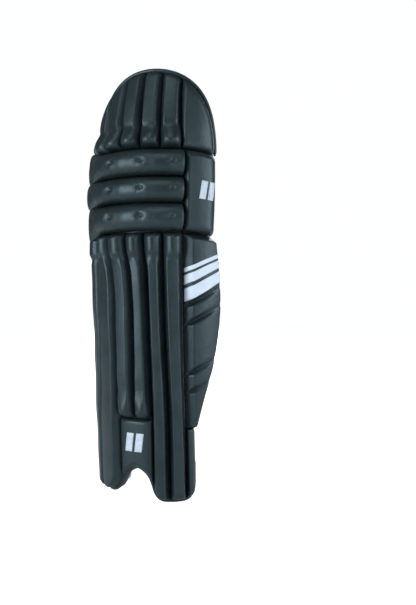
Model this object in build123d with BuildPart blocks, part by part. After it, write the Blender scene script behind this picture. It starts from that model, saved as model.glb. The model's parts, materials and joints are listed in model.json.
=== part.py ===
from build123d import *

import math
import os

# Cricket batting leg pad for an adult's left leg, in millimetres.
# The pad stands on its two feet. +Z runs up the shin, -Y is the struck face and +X is the side with the wing.
# Every horizontal section of the pad is built on circles about one upright, gently leaning section axis:
# a point is given by its angle from the front (degrees, positive towards +X), its radius and its height.

# Heights
pad_height = 680.0
shin_top = 428.0  # lower edge of the knee rolls
knee_top = 553.0  # upper edge of the knee rolls
instep_top = 134.0  # upper edge of the instep guard
arch_height = 56.0  # top of the notch over the boot
arch_width = 62.0
wing_bottom = 118.0
cup_bottom = 446.0
cup_top = 590.0

# The section axis, and the lean of the pad's back from foot to top
axis_x = -6.699
axis_y = 43.664
lean_stations = [(0, 4.0), (130, 1.0), (300, 0.0), (428, 0.5), (553, 6.0), (620, 17.0), (680, 33.0)]

# Radius of the front face of the foam boards
board_stations = [(0, 93.0), (130, 94.5), (300, 98.5), (428, 101.0), (553, 101.0), (680, 95.0)]
board_thickness = 8.0

# Edges between the shin channels, from the inner edge of the pad to the wing seam
shin_seams = [
    [(0, -54.0), (428, -51.0)],
    [(0, -36.0), (130, -35.0), (266, -32.0), (365, -32.5), (396, -34.0), (428, -35.0)],
    [(0, -12.0), (130, -12.0), (266, -11.5), (365, -13.0), (396, -17.5), (428, -18.5)],
    [(0, 4.5), (130, 4.5), (266, 5.0), (365, 3.5), (396, 0.0), (428, -1.0)],
    [(0, 20.5), (130, 20.5), (266, 18.5), (365, 17.0), (396, 15.0), (428, 14.5)],
    [(0, 35.5), (130, 35.0), (266, 32.0), (365, 30.5), (428, 30.0)],
    [(0, 51.5), (130, 50.0), (266, 47.5), (428, 46.0)],
]
channel_height = 20.0
channel_mouth_height = 24.0  # the fuller ends just below the knee rolls

# Edges between the top hat channels at the knee rolls; all of them drift by top_drift up to the crown
top_seams = [-40.5, -23.5, -6.5, 10.5, 27.0, 44.5]
top_drift = -4.5
top_channel_height = 18.0
top_bulge_height = 25.0

# Crown of the top hat, in angle about its own middle
crown_middle = 12.5
crown_half_angle = 65.5
crown_power = 2.05
crown_rim = 2.6  # the channels stop this many degrees short of the rim, and this far below it
crown_drop = 7.0

# Knee rolls and side panels
roll_height = 31.0
roll_groove = 15.0
roll_start = -53.0
side_seam = 45.8
side_edge = 76.0
side_height = 20.0

# Wing
wing_edge_stations = [(118, 59.5), (160, 66.0), (225, 77.0), (300, 83.0), (360, 81.0), (428, 76.0)]
wing_height = 18.0

# Cover, lining and clearances
skin = 2.0
slack = 0.3
seam_gap = 0.28  # degrees left open on each side of a seam

# Rear padding, in angle and thickness
lining_edge = -57.0
centre_left = -17.0
centre_right = 25.0
bolster_thickness = 27.0
centre_thickness = 12.0
mesh_thickness = 4.0
cup_thickness = 29.0
cup_centre_thickness = 21.0
cup_right_edge = 60.0
cup_bottom = 437.0
cup_top = 546.0
top_lining_thickness = 11.0

# Straps. Each runs through its path, given from the section axis: from the hinge on the wing side, round the
# back of the leg and out past the other edge. slope is the rise per millimetre of path.
strap_thickness = 2.8
hook_thickness = 1.5
tab_thickness = 2.0
anchor_thickness = 2.0
straps = {
    "knee": {
        "z": 443.0,
        "width": 32.0,
        "slope": 0.02,
        "path": [(85.5, -19.0), (75, 3), (45, 30), (5, 40), (-35, 24), (-58, -9), (-80, -43), (-103, -57)],
    },
    "calf": {
        "z": 318.0,
        "width": 54.0,
        "slope": 0.05,
        "path": [(93.3, -14.8), (79, 5), (47, 31), (5, 41), (-36, 25), (-58, -8), (-79, -42), (-103.5, -57.5)],
    },
    "ankle": {
        "z": 143.0,
        "width": 46.0,
        "slope": 0.02,
        "path": [(67.6, -45.4), (58, -21), (38, 8), (4, 21), (-30, 7), (-52, -20), (-74, -38), (-101, -54)],
    },
}


def at_height(z, stations):
    """Value at height z on a smooth curve through (height, value) stations."""
    zs = [s[0] for s in stations]
    vs = [s[1] for s in stations]
    if z <= zs[0]:
        return vs[0]
    if z >= zs[-1]:
        return vs[-1]
    k = max(i for i in range(len(zs) - 1) if zs[i] <= z)

    def slope(i):
        lo, hi = max(i - 1, 0), min(i + 1, len(zs) - 1)
        return (vs[hi] - vs[lo]) / (zs[hi] - zs[lo])

    span = zs[k + 1] - zs[k]
    t = (z - zs[k]) / span
    blend_start, blend_end = 2 * t**3 - 3 * t**2 + 1, -2 * t**3 + 3 * t**2
    pull_start, pull_end = t**3 - 2 * t**2 + t, t**3 - t**2
    return (
        blend_start * vs[k]
        + pull_start * span * slope(k)
        + blend_end * vs[k + 1]
        + pull_end * span * slope(k + 1)
    )


def board(z):
    return at_height(z, board_stations)


def place(angle, radius, z):
    """Plan position of a point on the section at height z."""
    a = math.radians(angle)
    y = axis_y + at_height(z, lean_stations) - radius * math.cos(a)
    return (axis_x + radius * math.sin(a), y)


def crown(z):
    """(left, right) angle of the top hat's rim at height z."""
    rise = max(0.0, min(1.0, (z - knee_top) / (pad_height - knee_top)))
    half = crown_half_angle * (1 - rise**crown_power) ** (1 / crown_power)
    return crown_middle - half, crown_middle + half


def inside_rim(z):
    """The same, drawn in so that the channels clear the piping."""
    left, right = crown(z + crown_drop)
    return left + crown_rim, right - crown_rim


def top_seam(k, z):
    return top_seams[k] + top_drift * (z - knee_top) / 107.0


def ring_section(z, left, right, inner, outer, bevel):
    """Closed ring sector at height z, with its two outer corners bevelled."""
    bevel = min(bevel, math.radians(right - left) * outer * 0.3)
    turn = math.degrees(bevel / outer) * 1.2
    middle = (left + right) / 2
    with BuildSketch(Plane.XY.offset(z)) as section:
        with BuildLine():
            ThreePointArc(place(left, inner, z), place(middle, inner, z), place(right, inner, z))
            Line(place(right, inner, z), place(right, outer - bevel, z))
            Line(place(right, outer - bevel, z), place(right - turn, outer, z))
            ThreePointArc(
                place(right - turn, outer, z), place(middle, outer, z), place(left + turn, outer, z)
            )
            Line(place(left + turn, outer, z), place(left, outer - bevel, z))
            Line(place(left, outer - bevel, z), place(left, inner, z))
        make_face()
    return section.sketch.face()


def stack(levels, left, right, inner, outer, bevel, inset=0.0, mode=Mode.ADD):
    """Lofts a ring sector through heights. left, right, inner and outer are functions of height; inset shrinks it."""
    sections = []
    for z in levels:
        turn = math.degrees(inset / board(z))
        corner = max(bevel - inset, 1.0)
        sections.append(
            ring_section(z, left(z) + turn, right(z) - turn, inner(z) + inset, outer(z) - inset, corner)
        )
    loft(sections=sections, ruled=True, mode=mode)


def save(builder, name):
    builder.part.label = name
    export_step(builder.part, f"parts/{name}.step")


def heights(low, high, step=45.0):
    count = max(1, round((high - low) / step))
    return [low + (high - low) * i / count for i in range(count + 1)]


def crown_heights(low, high):
    """Levels that close up towards the crown, where the outline turns over."""
    rise = pad_height - knee_top
    levels = [knee_top + rise * math.sin(math.radians(turn)) for turn in range(0, 90, 6)]
    return [low] + [z for z in levels if low + 1.5 < z < high - 1.0] + [high]


def covered_channel(cover_name, core_name, low, high, inner_high, left, right, outer, bevel=6.0, grid=heights):
    """A sewn sleeve and the slat that fills it."""
    inner = lambda z: board(z) + slack
    levels = grid(low, high)
    cavity = grid(low + skin, inner_high)
    with BuildPart() as cover:
        stack(levels, left, right, inner, outer, bevel)
        stack(cavity, left, right, inner, outer, bevel, skin, Mode.SUBTRACT)
    save(cover, cover_name)
    slat_levels = grid(low + skin + slack, inner_high - slack)
    with BuildPart() as slat:
        stack(slat_levels, left, right, inner, outer, bevel, skin + slack)
    save(slat, core_name)


def shin_outer(z):
    """Front of the shin channels: full at the mouth under the knee, flatter below."""
    share = max(0.0, min(1.0, (z - 372.0) / 24.0))
    share = share * share * (3 - 2 * share)
    return board(z) + channel_height + (channel_mouth_height - channel_height) * share


def top_outer(z):
    """Front of the top hat channels: they bulge just above the knee rolls and thin out towards the crown."""
    rise = (z - knee_top) / (pad_height - knee_top)
    bulge = math.exp(-(((z - knee_top - 17.0) / 22.0) ** 2))
    return board(z) + top_channel_height - 7.0 * rise + (top_bulge_height - top_channel_height) * bulge


# Shin channels: the two over the instep stop at the instep guard
for k in range(6):
    low = instep_top + 1.0 if k in (2, 3) else 0.0
    covered_channel(
        f"shin_channel_{k + 1}",
        f"shin_slat_{k + 1}",
        low,
        shin_top - 0.5,
        shin_top - 0.5 - skin,
        lambda z, k=k: at_height(z, shin_seams[k]) + seam_gap,
        lambda z, k=k: at_height(z, shin_seams[k + 1]) - seam_gap,
        shin_outer,
    )


def rim_height(left_seam, right_seam, width):
    """Height at which the crown has narrowed a top hat channel to width degrees."""
    low, high = knee_top, pad_height
    for _ in range(40):
        z = (low + high) / 2
        left, right = inside_rim(z)
        found = min(right, top_seam(right_seam, z)) - max(left, top_seam(left_seam, z))
        low, high = (z, high) if found > width else (low, z)
    return low


# Top hat channels, cut to the crown
for k in range(5):
    covered_channel(
        f"top_channel_{k + 1}",
        f"top_slat_{k + 1}",
        knee_top + 0.5,
        rim_height(k, k + 1, 4.0),
        rim_height(k, k + 1, 7.0) - skin,
        lambda z, k=k: max(top_seam(k, z) + seam_gap, inside_rim(z)[0]),
        lambda z, k=k: min(top_seam(k + 1, z) - seam_gap, inside_rim(z)[1]),
        top_outer,
        bevel=3.0,
        grid=crown_heights,
    )

# Smooth panel of the top hat beside the channels, on the wing side
with BuildPart() as top_side_panel:
    stack(
        crown_heights(knee_top + 0.5, 650.0),
        lambda z: top_seam(5, z) + seam_gap,
        lambda z: inside_rim(z)[1],
        lambda z: board(z) + slack,
        lambda z: board(z) + 14.0,
        4.0,
    )
save(top_side_panel, "top_side_panel")

# Knee rolls: three sausages turned about the upright axis, each with a foam core
roll_pitch = (knee_top - shin_top) / 3
roll_names = ["lower", "middle", "upper"]


def roll_profile(low, high, back, front, plane):
    """Half of a rounded sausage section: flat at the back, full at the front."""
    middle = (low + high) / 2
    shoulder = back + roll_groove - skin
    with BuildSketch(plane) as profile:
        with BuildLine():
            Line((back, low), (shoulder, low))
            Spline(
                [(shoulder, low), (front - 2.5, low + (high - low) * 0.22), (front, middle)]
                + [(front - 2.5, high - (high - low) * 0.22), (shoulder, high)]
            )
            Line((shoulder, high), (back, high))
            Line((back, high), (back, low))
        make_face()
    return profile.sketch.face()


def roll_plane(z, angle):
    a = math.radians(angle)
    origin = (axis_x, axis_y + at_height(z, lean_stations), 0)
    return Plane(origin=origin, x_dir=(math.sin(a), -math.cos(a), 0), z_dir=(-math.cos(a), -math.sin(a), 0))


def turned_roll(low, high, back, front, start, end, z, mode=Mode.ADD):
    plane = roll_plane(z, start)
    profile = roll_profile(low, high, back, front, plane)
    revolve(profiles=profile, axis=Axis(plane.origin, (0, 0, 1)), revolution_arc=end - start, mode=mode)


for i, roll in enumerate(roll_names):
    low = shin_top + roll_pitch * i + 0.4
    high = shin_top + roll_pitch * (i + 1) - 0.4
    middle = (low + high) / 2
    back = board(middle) + 1.9
    front = board(middle) + roll_height
    turn = math.degrees(skin / back)
    with BuildPart() as roll_cover:
        turned_roll(low, high, back, front, roll_start, side_seam - 0.6, middle)
        turned_roll(
            low + skin, high - skin, back + skin, front - skin,
            roll_start + turn, side_seam - 0.6 - turn, middle, Mode.SUBTRACT,
        )  # fmt: skip
    save(roll_cover, f"knee_roll_{roll}")
    inset, turn = skin + slack, math.degrees((skin + slack) / back)
    with BuildPart() as roll_core:
        turned_roll(
            low + inset, high - inset, back + inset, front - inset,
            roll_start + turn, side_seam - 0.6 - turn, middle,
        )  # fmt: skip
    save(roll_core, f"knee_roll_core_{roll}")

# Smooth padded panel beside the knee rolls
with BuildPart() as knee_side_panel:
    stack(
        heights(shin_top + 0.8, knee_top - 0.5, 31.0),
        lambda z: side_seam + 0.3,
        lambda z: side_edge,
        lambda z: board(z) + 1.2,
        lambda z: board(z) + side_height + 3.0 * math.sin(math.pi * (z - shin_top) / (knee_top - shin_top)),
        5.0,
    )
save(knee_side_panel, "knee_side_panel")


def arch_cut():
    """Notch over the boot, cut through from front to back."""
    middle = place(4.5, 90.0, 0)[0]
    half = arch_width / 2
    with BuildSketch(Plane.XZ.offset(60.0)) as notch:
        with BuildLine():
            Line((middle - half, -1), (middle + half, -1))
            Spline(
                (middle + half, -1), (middle + half * 0.62, arch_height * 0.62), (middle, arch_height),
                (middle - half * 0.62, arch_height * 0.62), (middle - half, -1),
            )  # fmt: skip
        make_face()
    extrude(notch.sketch, amount=-160.0, mode=Mode.SUBTRACT)


# Instep guard between the feet, with the arch cut out of it
with BuildPart() as instep_guard:
    stack(
        heights(20.0, instep_top, 38.0),
        lambda z: at_height(z, shin_seams[2]) + seam_gap,
        lambda z: at_height(z, shin_seams[4]) - seam_gap,
        lambda z: board(z) + slack,
        lambda z: board(z) + 13.0,
        3.0,
    )
    arch_cut()
save(instep_guard, "instep_guard")

# Padded edge of the shin below the wing
with BuildPart() as shin_edge:
    stack(
        heights(0.0, wing_bottom - 3.0),
        lambda z: at_height(z, shin_seams[6]) + seam_gap,
        lambda z: at_height(z, shin_seams[6]) + 8.0,
        lambda z: board(z) - board_thickness,
        lambda z: board(z) + 15.0,
        4.0,
    )
save(shin_edge, "shin_edge")

# Foam boards behind the channels
with BuildPart() as shin_board:
    stack(
        heights(0.0, shin_top - 0.3),
        lambda z: at_height(z, shin_seams[0]),
        lambda z: at_height(z, shin_seams[6]) - 0.4,
        lambda z: board(z) - board_thickness,
        lambda z: board(z),
        2.0,
    )
    arch_cut()
save(shin_board, "shin_board")

with BuildPart() as top_board:
    stack(
        heights(shin_top + 0.3, knee_top, 31.0)[:-1] + crown_heights(knee_top, pad_height - 0.7),
        lambda z: crown(z)[0],
        lambda z: crown(z)[1] if z > knee_top else side_edge,
        lambda z: board(z) - board_thickness,
        lambda z: board(z),
        2.0,
    )
save(top_board, "top_board")

# Wing: padded cover over a stiff sheet, with a fabric lining inside and raised facets outside
wing_top = shin_top - 2.2
wing_levels = heights(wing_bottom, wing_top, 26.0)


def wing_left(z):
    return at_height(z, shin_seams[6]) + 0.6


def wing_right(z):
    return at_height(z, wing_edge_stations)


with BuildPart() as wing_cover:
    stack(wing_levels, wing_left, wing_right, lambda z: board(z) + 3.0, lambda z: board(z) + wing_height, 5.0)
    stack(
        heights(wing_bottom + 6.0, wing_top - 5.0, 40.0),
        lambda z: wing_left(z) + 2.4,
        lambda z: wing_right(z) - 3.0,
        lambda z: board(z) + 5.0,
        lambda z: board(z) + 7.5,
        1.0,
        mode=Mode.SUBTRACT,
    )
save(wing_cover, "wing_cover")

with BuildPart() as wing_sheet:
    stack(
        heights(wing_bottom + 6.5, wing_top - 5.5, 40.0),
        lambda z: wing_left(z) + 2.7,
        lambda z: wing_right(z) - 3.3,
        lambda z: board(z) + 5.3,
        lambda z: board(z) + 7.2,
        0.9,
    )
save(wing_sheet, "wing_sheet")

with BuildPart() as wing_lining:
    stack(wing_levels, wing_left, wing_right, lambda z: board(z) + 0.8, lambda z: board(z) + 2.8, 0.9)
save(wing_lining, "wing_lining")



def ribbon(sections, mode=Mode.ADD):
    """Lofts a thin strip through four-cornered sections."""
    loft(sections=[Face(Wire.make_polygon(corners)) for corners in sections], ruled=True, mode=mode)


# Three slanting stripes sewn on the upper wing
stripe_rise = 1.0  # millimetres up for each degree round the wing
stripe_start = 50.5
with BuildPart() as wing_stripes:
    for bottom, tall in [(319.5, 20.5), (346.0, 15.0), (365.0, 7.0)]:
        sections = []
        for step in range(7):
            angle = stripe_start + step * 4.7
            low = bottom + stripe_rise * (angle - stripe_start)
            faces = [(wing_height + 0.2, low), (wing_height + 1.2, low)]
            faces += [(wing_height + 1.2, low + tall), (wing_height + 0.2, low + tall)]
            sections.append([(*place(angle, board(z) + h, z), z) for h, z in faces])
        ribbon(sections)
save(wing_stripes, "wing_stripes")


def rear_pad(name, levels, left, right, thickness, bevel=7.0):
    """A cushion on the leg side of the boards; its bevelled corners face the leg."""
    with BuildPart() as pad:
        sections = []
        for z in levels:
            outer = board(z) - board_thickness - slack
            sections.append(rear_section(z, left(z), right(z), outer - thickness, outer, bevel))
        loft(sections=sections, ruled=True)
    save(pad, name)


def rear_section(z, left, right, inner, outer, bevel):
    """Closed ring sector at height z, with its two inner corners bevelled."""
    turn = math.degrees(bevel / inner)
    middle = (left + right) / 2
    with BuildSketch(Plane.XY.offset(z)) as section:
        with BuildLine():
            ThreePointArc(place(left, outer, z), place(middle, outer, z), place(right, outer, z))
            Line(place(right, outer, z), place(right, inner + bevel, z))
            Line(place(right, inner + bevel, z), place(right - turn, inner, z))
            ThreePointArc(
                place(right - turn, inner, z), place(middle, inner, z), place(left + turn, inner, z)
            )
            Line(place(left + turn, inner, z), place(left, inner + bevel, z))
            Line(place(left, inner + bevel, z), place(left, outer, z))
        make_face()
    return section.sketch.face()


# Cushions behind the boards: shin bolsters, shin centre, knee cup and top hat lining
bolster_right_edge = 46.0
rear_gap = 0.4
rear_pad(
    "bolster_left", heights(0.0, cup_bottom - 1.0),
    lambda z: lining_edge, lambda z: centre_left - rear_gap, bolster_thickness,
)  # fmt: skip
rear_pad(
    "bolster_right", heights(0.0, cup_bottom - 1.0),
    lambda z: centre_right + rear_gap, lambda z: bolster_right_edge, bolster_thickness,
)  # fmt: skip
rear_pad(
    "shin_centre_pad", heights(instep_top + 1.0, cup_bottom - 1.0),
    lambda z: centre_left, lambda z: centre_right, centre_thickness, bevel=3.0,
)  # fmt: skip
rear_pad(
    "knee_cup_left", heights(cup_bottom, cup_top, 27.0),
    lambda z: lining_edge, lambda z: centre_left - 3.0 - rear_gap, cup_thickness,
)  # fmt: skip
rear_pad(
    "knee_cup_centre", heights(cup_bottom, cup_top, 27.0),
    lambda z: centre_left - 3.0, lambda z: centre_right - 1.0, cup_centre_thickness, 4.0,
)  # fmt: skip
rear_pad(
    "knee_cup_right", heights(cup_bottom, cup_top, 27.0),
    lambda z: centre_right - 1.0 + rear_gap, lambda z: cup_right_edge, cup_thickness,
)  # fmt: skip
rear_pad(
    "top_lining", [cup_top + 1.0] + crown_heights(knee_top, pad_height - 6.0),
    lambda z: crown(z + 4.0)[0] + 1.0, lambda z: min(crown(z + 4.0)[1] - 1.0, side_edge - 1.0), top_lining_thickness, 4.0,
)  # fmt: skip

# Open mesh behind the instep guard, cut to the same notch
with BuildPart() as instep_mesh:
    stack(
        heights(20.0, instep_top, 38.0),
        lambda z: centre_left,
        lambda z: centre_right,
        lambda z: board(z) - board_thickness - slack - mesh_thickness,
        lambda z: board(z) - board_thickness - slack,
        1.0,
    )
    arch_cut()
save(instep_mesh, "instep_mesh")

# Rolled piping round the rim of the top hat
piping_radius = 3.0
rim = []
for share in range(-8, 9):
    rise = math.sin(math.radians(90 - abs(share) * 11.25))
    z = knee_top + 2.0 + (pad_height - knee_top - 5.0) * rise
    side = 1 if share > 0 else 0
    angle = crown(z)[side] if share else crown_middle
    rim.append((*place(angle, board(z) + 4.2, z), z))
with BuildPart() as top_piping:
    with BuildLine() as rim_line:
        Spline(rim)
    with BuildSketch(Plane(origin=rim_line.line @ 0, z_dir=rim_line.line % 0)) as rim_section:
        Circle(piping_radius)
    sweep(rim_section.sketch, path=rim_line.line)
save(top_piping, "top_piping")


def strap_place(strap, length, offset):
    """Plan position on a strap at a length from its hinge, offset outwards from its inner face."""
    points = strap["path"]
    marks = [0.0]
    for a, b in zip(points, points[1:]):
        marks.append(marks[-1] + math.dist(a, b))
    xs = [(m, p[0]) for m, p in zip(marks, points)]
    ys = [(m, p[1]) for m, p in zip(marks, points)]
    before, after = max(length - 0.5, 0.0), min(length + 0.5, marks[-1])
    along_x = at_height(after, xs) - at_height(before, xs)
    along_y = at_height(after, ys) - at_height(before, ys)
    pace = math.hypot(along_x, along_y)
    x = at_height(length, xs) + offset * along_y / pace
    y = at_height(length, ys) - offset * along_x / pace
    return axis_x + x, axis_y + at_height(strap["z"], lean_stations) + y


def strap_strip(strap, start, end, inner, outer, half_height):
    """Part of a strap: start and end are arc lengths from the hinge, inner and outer offsets from its inner face."""
    sections = []
    steps = max(3, round((end - start) / 5.0))
    for i in range(steps + 1):
        share = i / steps
        length = start + (end - start) * share
        middle = strap["z"] + strap["slope"] * length
        half = half_height(share)
        corners = [(inner, -half), (outer, -half), (outer, half), (inner, half)]
        sections.append([(*strap_place(strap, length, offset), middle + z) for offset, z in corners])
    ribbon(sections)


def strap_length(strap):
    points = strap["path"]
    return sum(math.dist(a, b) for a, b in zip(points, points[1:]))


def rounded_end(half, radius, share_span):
    """Half height of a strip whose far end is rounded off."""

    def half_at(share):
        into = max(0.0, (share - (1 - share_span)) / share_span)
        return half - radius * (1 - math.sqrt(max(0.0, 1 - into**2)))

    return half_at


# Straps: webbing sewn to the wing side, with a hook patch that grips a landing tab on the other edge
for name, strap in straps.items():
    length = strap_length(strap)
    half = strap["width"] / 2
    z = strap["z"]
    with BuildPart() as webbing:
        strap_strip(strap, 0.0, length, 0.0, strap_thickness, rounded_end(half, 3.0, 0.1))
    save(webbing, f"{name}_strap")
    with BuildPart() as hook:
        strap_strip(strap, length - 34.0, length - 4.0, -hook_thickness - 0.1, -0.1, lambda share: half - 4.0)
    save(hook, f"{name}_hook")
    with BuildPart() as tab:
        strap_strip(
            strap, length - 42.0, length - 1.0,
            -hook_thickness - tab_thickness - 0.5, -hook_thickness - 0.5,
            rounded_end(half + 3.0, 7.0, 0.3),
        )  # fmt: skip
    save(tab, f"{name}_tab")

# Anchor patches that carry the three strap hinges
anchors = {
    "knee": (63.0, 77.0, board_thickness + slack, straps["knee"]),
    "calf": (68.5, 80.5, -0.4, straps["calf"]),
    "ankle": (46.5, 55.6, board_thickness + slack, straps["ankle"]),
}
for name, (left, right, depth, strap) in anchors.items():
    with BuildPart() as anchor:
        stack(
            [strap["z"] - strap["width"] / 2 - 2.0, strap["z"] + strap["width"] / 2 + 2.0],
            lambda z: left,
            lambda z: right,
            lambda z: board(z) - depth - anchor_thickness,
            lambda z: board(z) - depth,
            1.0,
        )
    save(anchor, f"{name}_anchor")
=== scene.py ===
# Cricket leg pad: the look of the part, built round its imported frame. Lengths in the settings are millimetres.
import bmesh
import bpy
import json
import math
from mathutils import Matrix, Vector


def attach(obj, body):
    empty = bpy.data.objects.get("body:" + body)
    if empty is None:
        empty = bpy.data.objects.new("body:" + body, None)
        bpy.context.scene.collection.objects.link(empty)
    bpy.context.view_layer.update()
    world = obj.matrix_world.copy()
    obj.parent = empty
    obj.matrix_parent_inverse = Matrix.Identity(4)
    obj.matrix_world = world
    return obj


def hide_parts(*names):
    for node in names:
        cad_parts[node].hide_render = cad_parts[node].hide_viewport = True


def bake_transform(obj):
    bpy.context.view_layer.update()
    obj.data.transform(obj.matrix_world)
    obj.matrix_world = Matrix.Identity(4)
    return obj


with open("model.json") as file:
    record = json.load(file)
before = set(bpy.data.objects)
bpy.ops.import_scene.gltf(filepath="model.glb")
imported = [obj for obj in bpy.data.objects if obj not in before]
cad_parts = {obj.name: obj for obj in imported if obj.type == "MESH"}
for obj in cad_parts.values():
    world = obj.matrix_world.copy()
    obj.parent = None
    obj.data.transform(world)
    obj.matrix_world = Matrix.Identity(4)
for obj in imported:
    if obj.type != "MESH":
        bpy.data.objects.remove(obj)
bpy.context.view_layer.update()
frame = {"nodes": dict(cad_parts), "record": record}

# Each section of the pad is a circle about one leaning upright axis, so a point has an angle, a lift off the foam board
# and a height. Angles are degrees from the front, growing towards the wing.
padShape = {
    "axisX": -6.699,
    "axisY": 43.664,
    "height": 680.0,
    "lean": [(0, 4.0), (130, 1.0), (300, 0.0), (428, 0.5), (553, 6.0), (620, 17.0), (680, 33.0)],
    "board": [(0, 93.0), (130, 94.5), (300, 98.5), (428, 101.0), (553, 101.0), (680, 95.0)],
    "boardThickness": 8.3,
    "shinTop": 428.0,
    "kneeTop": 553.0,
    "shinSeams": [
        [(0, -54.0), (428, -51.0)],
        [(0, -36.0), (130, -35.0), (266, -32.0), (365, -32.5), (396, -34.0), (428, -35.0)],
        [(0, -12.0), (130, -12.0), (266, -11.5), (365, -13.0), (396, -17.5), (428, -18.5)],
        [(0, 4.5), (130, 4.5), (266, 5.0), (365, 3.5), (396, 0.0), (428, -1.0)],
        [(0, 20.5), (130, 20.5), (266, 18.5), (365, 17.0), (396, 15.0), (428, 14.5)],
        [(0, 35.5), (130, 35.0), (266, 32.0), (365, 30.5), (428, 30.0)],
        [(0, 51.5), (130, 50.0), (266, 47.5), (428, 46.0)],
    ],
    "wingEdge": [(118, 59.5), (160, 66.0), (225, 77.0), (300, 83.0), (360, 81.0), (428, 76.0)],
    "crownMiddle": 12.5,
    "crownHalf": 65.5,
    "crownPower": 2.05,
    "bandDrop": 11.0,
    "innerLobeLeft": [(7.6, -36.0), (8.0, -42.5), (9.8, -47.2), (14, -51.0), (22, -53.3), (32, -54.0)],
    "innerLobeRight": [
        (7.6, -36.0), (9.0, -30.0), (12, -25.0), (15.5, -21.2), (20, -17.8), (25, -15.2), (32, -12.6), (40.5, -9.0),
        (48, -4.8), (52.8, -0.6), (55, 2.2), (56, 4.5),
    ],
    "outerLobeLeft": [
        (2.9, 38.0), (4, 29.5), (8, 25.0), (14.5, 22.2), (22, 20.6), (31, 19.0), (40.5, 16.6), (48, 13.2), (52.8, 9.3),
        (55, 6.8), (56, 4.5),
    ],
    "outerLobeRight": [(2.9, 44.0), (3.6, 50.0), (6.5, 54.4), (12, 57.6), (19, 59.2), (30, 59.8)],
}


def clamp(value, low=0.0, high=1.0):
    return max(low, min(high, value))


def ease(value):
    value = clamp(value)
    return value * value * (3 - 2 * value)


def dome(share, power):  # 1 in the middle, 0 where share is 1 or -1; a higher power is flatter on top
    return (1 - min(1.0, abs(share)) ** power) ** (1 / power)


def bell(distance, width):
    return math.exp(-((distance / width) ** 2))


def curveValue(z, stations):  # the smooth curve that the pad's outline follows
    last = len(stations) - 1
    if z <= stations[0][0]:
        return stations[0][1]
    if z >= stations[last][0]:
        return stations[last][1]
    k = max(i for i in range(last) if stations[i][0] <= z)
    slopes = []
    for i in (k, k + 1):
        low, high = max(i - 1, 0), min(i + 1, last)
        slopes.append((stations[high][1] - stations[low][1]) / (stations[high][0] - stations[low][0]))
    span = stations[k + 1][0] - stations[k][0]
    t = (z - stations[k][0]) / span
    value = (2 * t**3 - 3 * t**2 + 1) * stations[k][1] + (3 * t**2 - 2 * t**3) * stations[k + 1][1]
    return value + span * ((t**3 - 2 * t**2 + t) * slopes[0] + (t**3 - t**2) * slopes[1])


def padPoint(angle, lift, z):
    radius = curveValue(z, padShape["board"]) + lift
    turn = math.radians(angle)
    x = padShape["axisX"] + radius * math.sin(turn)
    y = padShape["axisY"] + curveValue(z, padShape["lean"]) - radius * math.cos(turn)
    # the knee bands dip towards the inner edge, on the front only
    drop = padShape["bandDrop"] * clamp((20 - angle) / 73) ** 1.7 + 8.0 * clamp((angle - 42) / 34) ** 1.7
    drop *= clamp((lift + 5) / 5)
    drop *= ease((z - 340) / 75) * ease((645 - z) / 80)
    return Vector((x, y, z - drop)) * 0.001


def shinSeam(k, z):
    return curveValue(z, padShape["shinSeams"][k])


def wingLeft(z):
    return shinSeam(6, z) + 0.6


def wingRight(z):
    return curveValue(z, padShape["wingEdge"])


def crownRim(z):
    rise = clamp((z - padShape["kneeTop"]) / (padShape["height"] - padShape["kneeTop"]))
    half = padShape["crownHalf"] * (1 - rise ** padShape["crownPower"]) ** (1 / padShape["crownPower"])
    return padShape["crownMiddle"] - half, padShape["crownMiddle"] + half


def crownTop(angle):  # height of the rim over an angle
    share = clamp(abs(angle - padShape["crownMiddle"]) / padShape["crownHalf"])
    rise = (1 - share ** padShape["crownPower"]) ** (1 / padShape["crownPower"])
    return padShape["kneeTop"] + (padShape["height"] - padShape["kneeTop"]) * rise


def rimDistance(angle, z):  # rough distance in from the rim of the top hat
    left, right = crownRim(z)
    across = min(angle - left, right - angle) * 1.85
    above = crownTop(angle) - z
    if across <= 0 or above <= 0:
        return 0.0
    return across * above / math.hypot(across, above)


def footEdge(which, z):  # angle of one side of a foot lobe at a height
    return curveValue(z, padShape[which])


def archAngle(z, side):
    return footEdge("outerLobeLeft" if side > 0 else "innerLobeRight", min(z, 56.0))


def topSeam(k, z):  # k may be below 0: the narrow strips at the inner edge
    seams = [-54.5, -47.5, -40.5, -23.5, -6.5, 10.5, 27.0, 44.5]
    return seams[k + 2] - 4.5 * (z - padShape["kneeTop"]) / 107.0


def steps(low, high, size):
    count = max(1, round((high - low) / size))
    return [low + (high - low) * i / count for i in range(count + 1)]


# Mesh work


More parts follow.
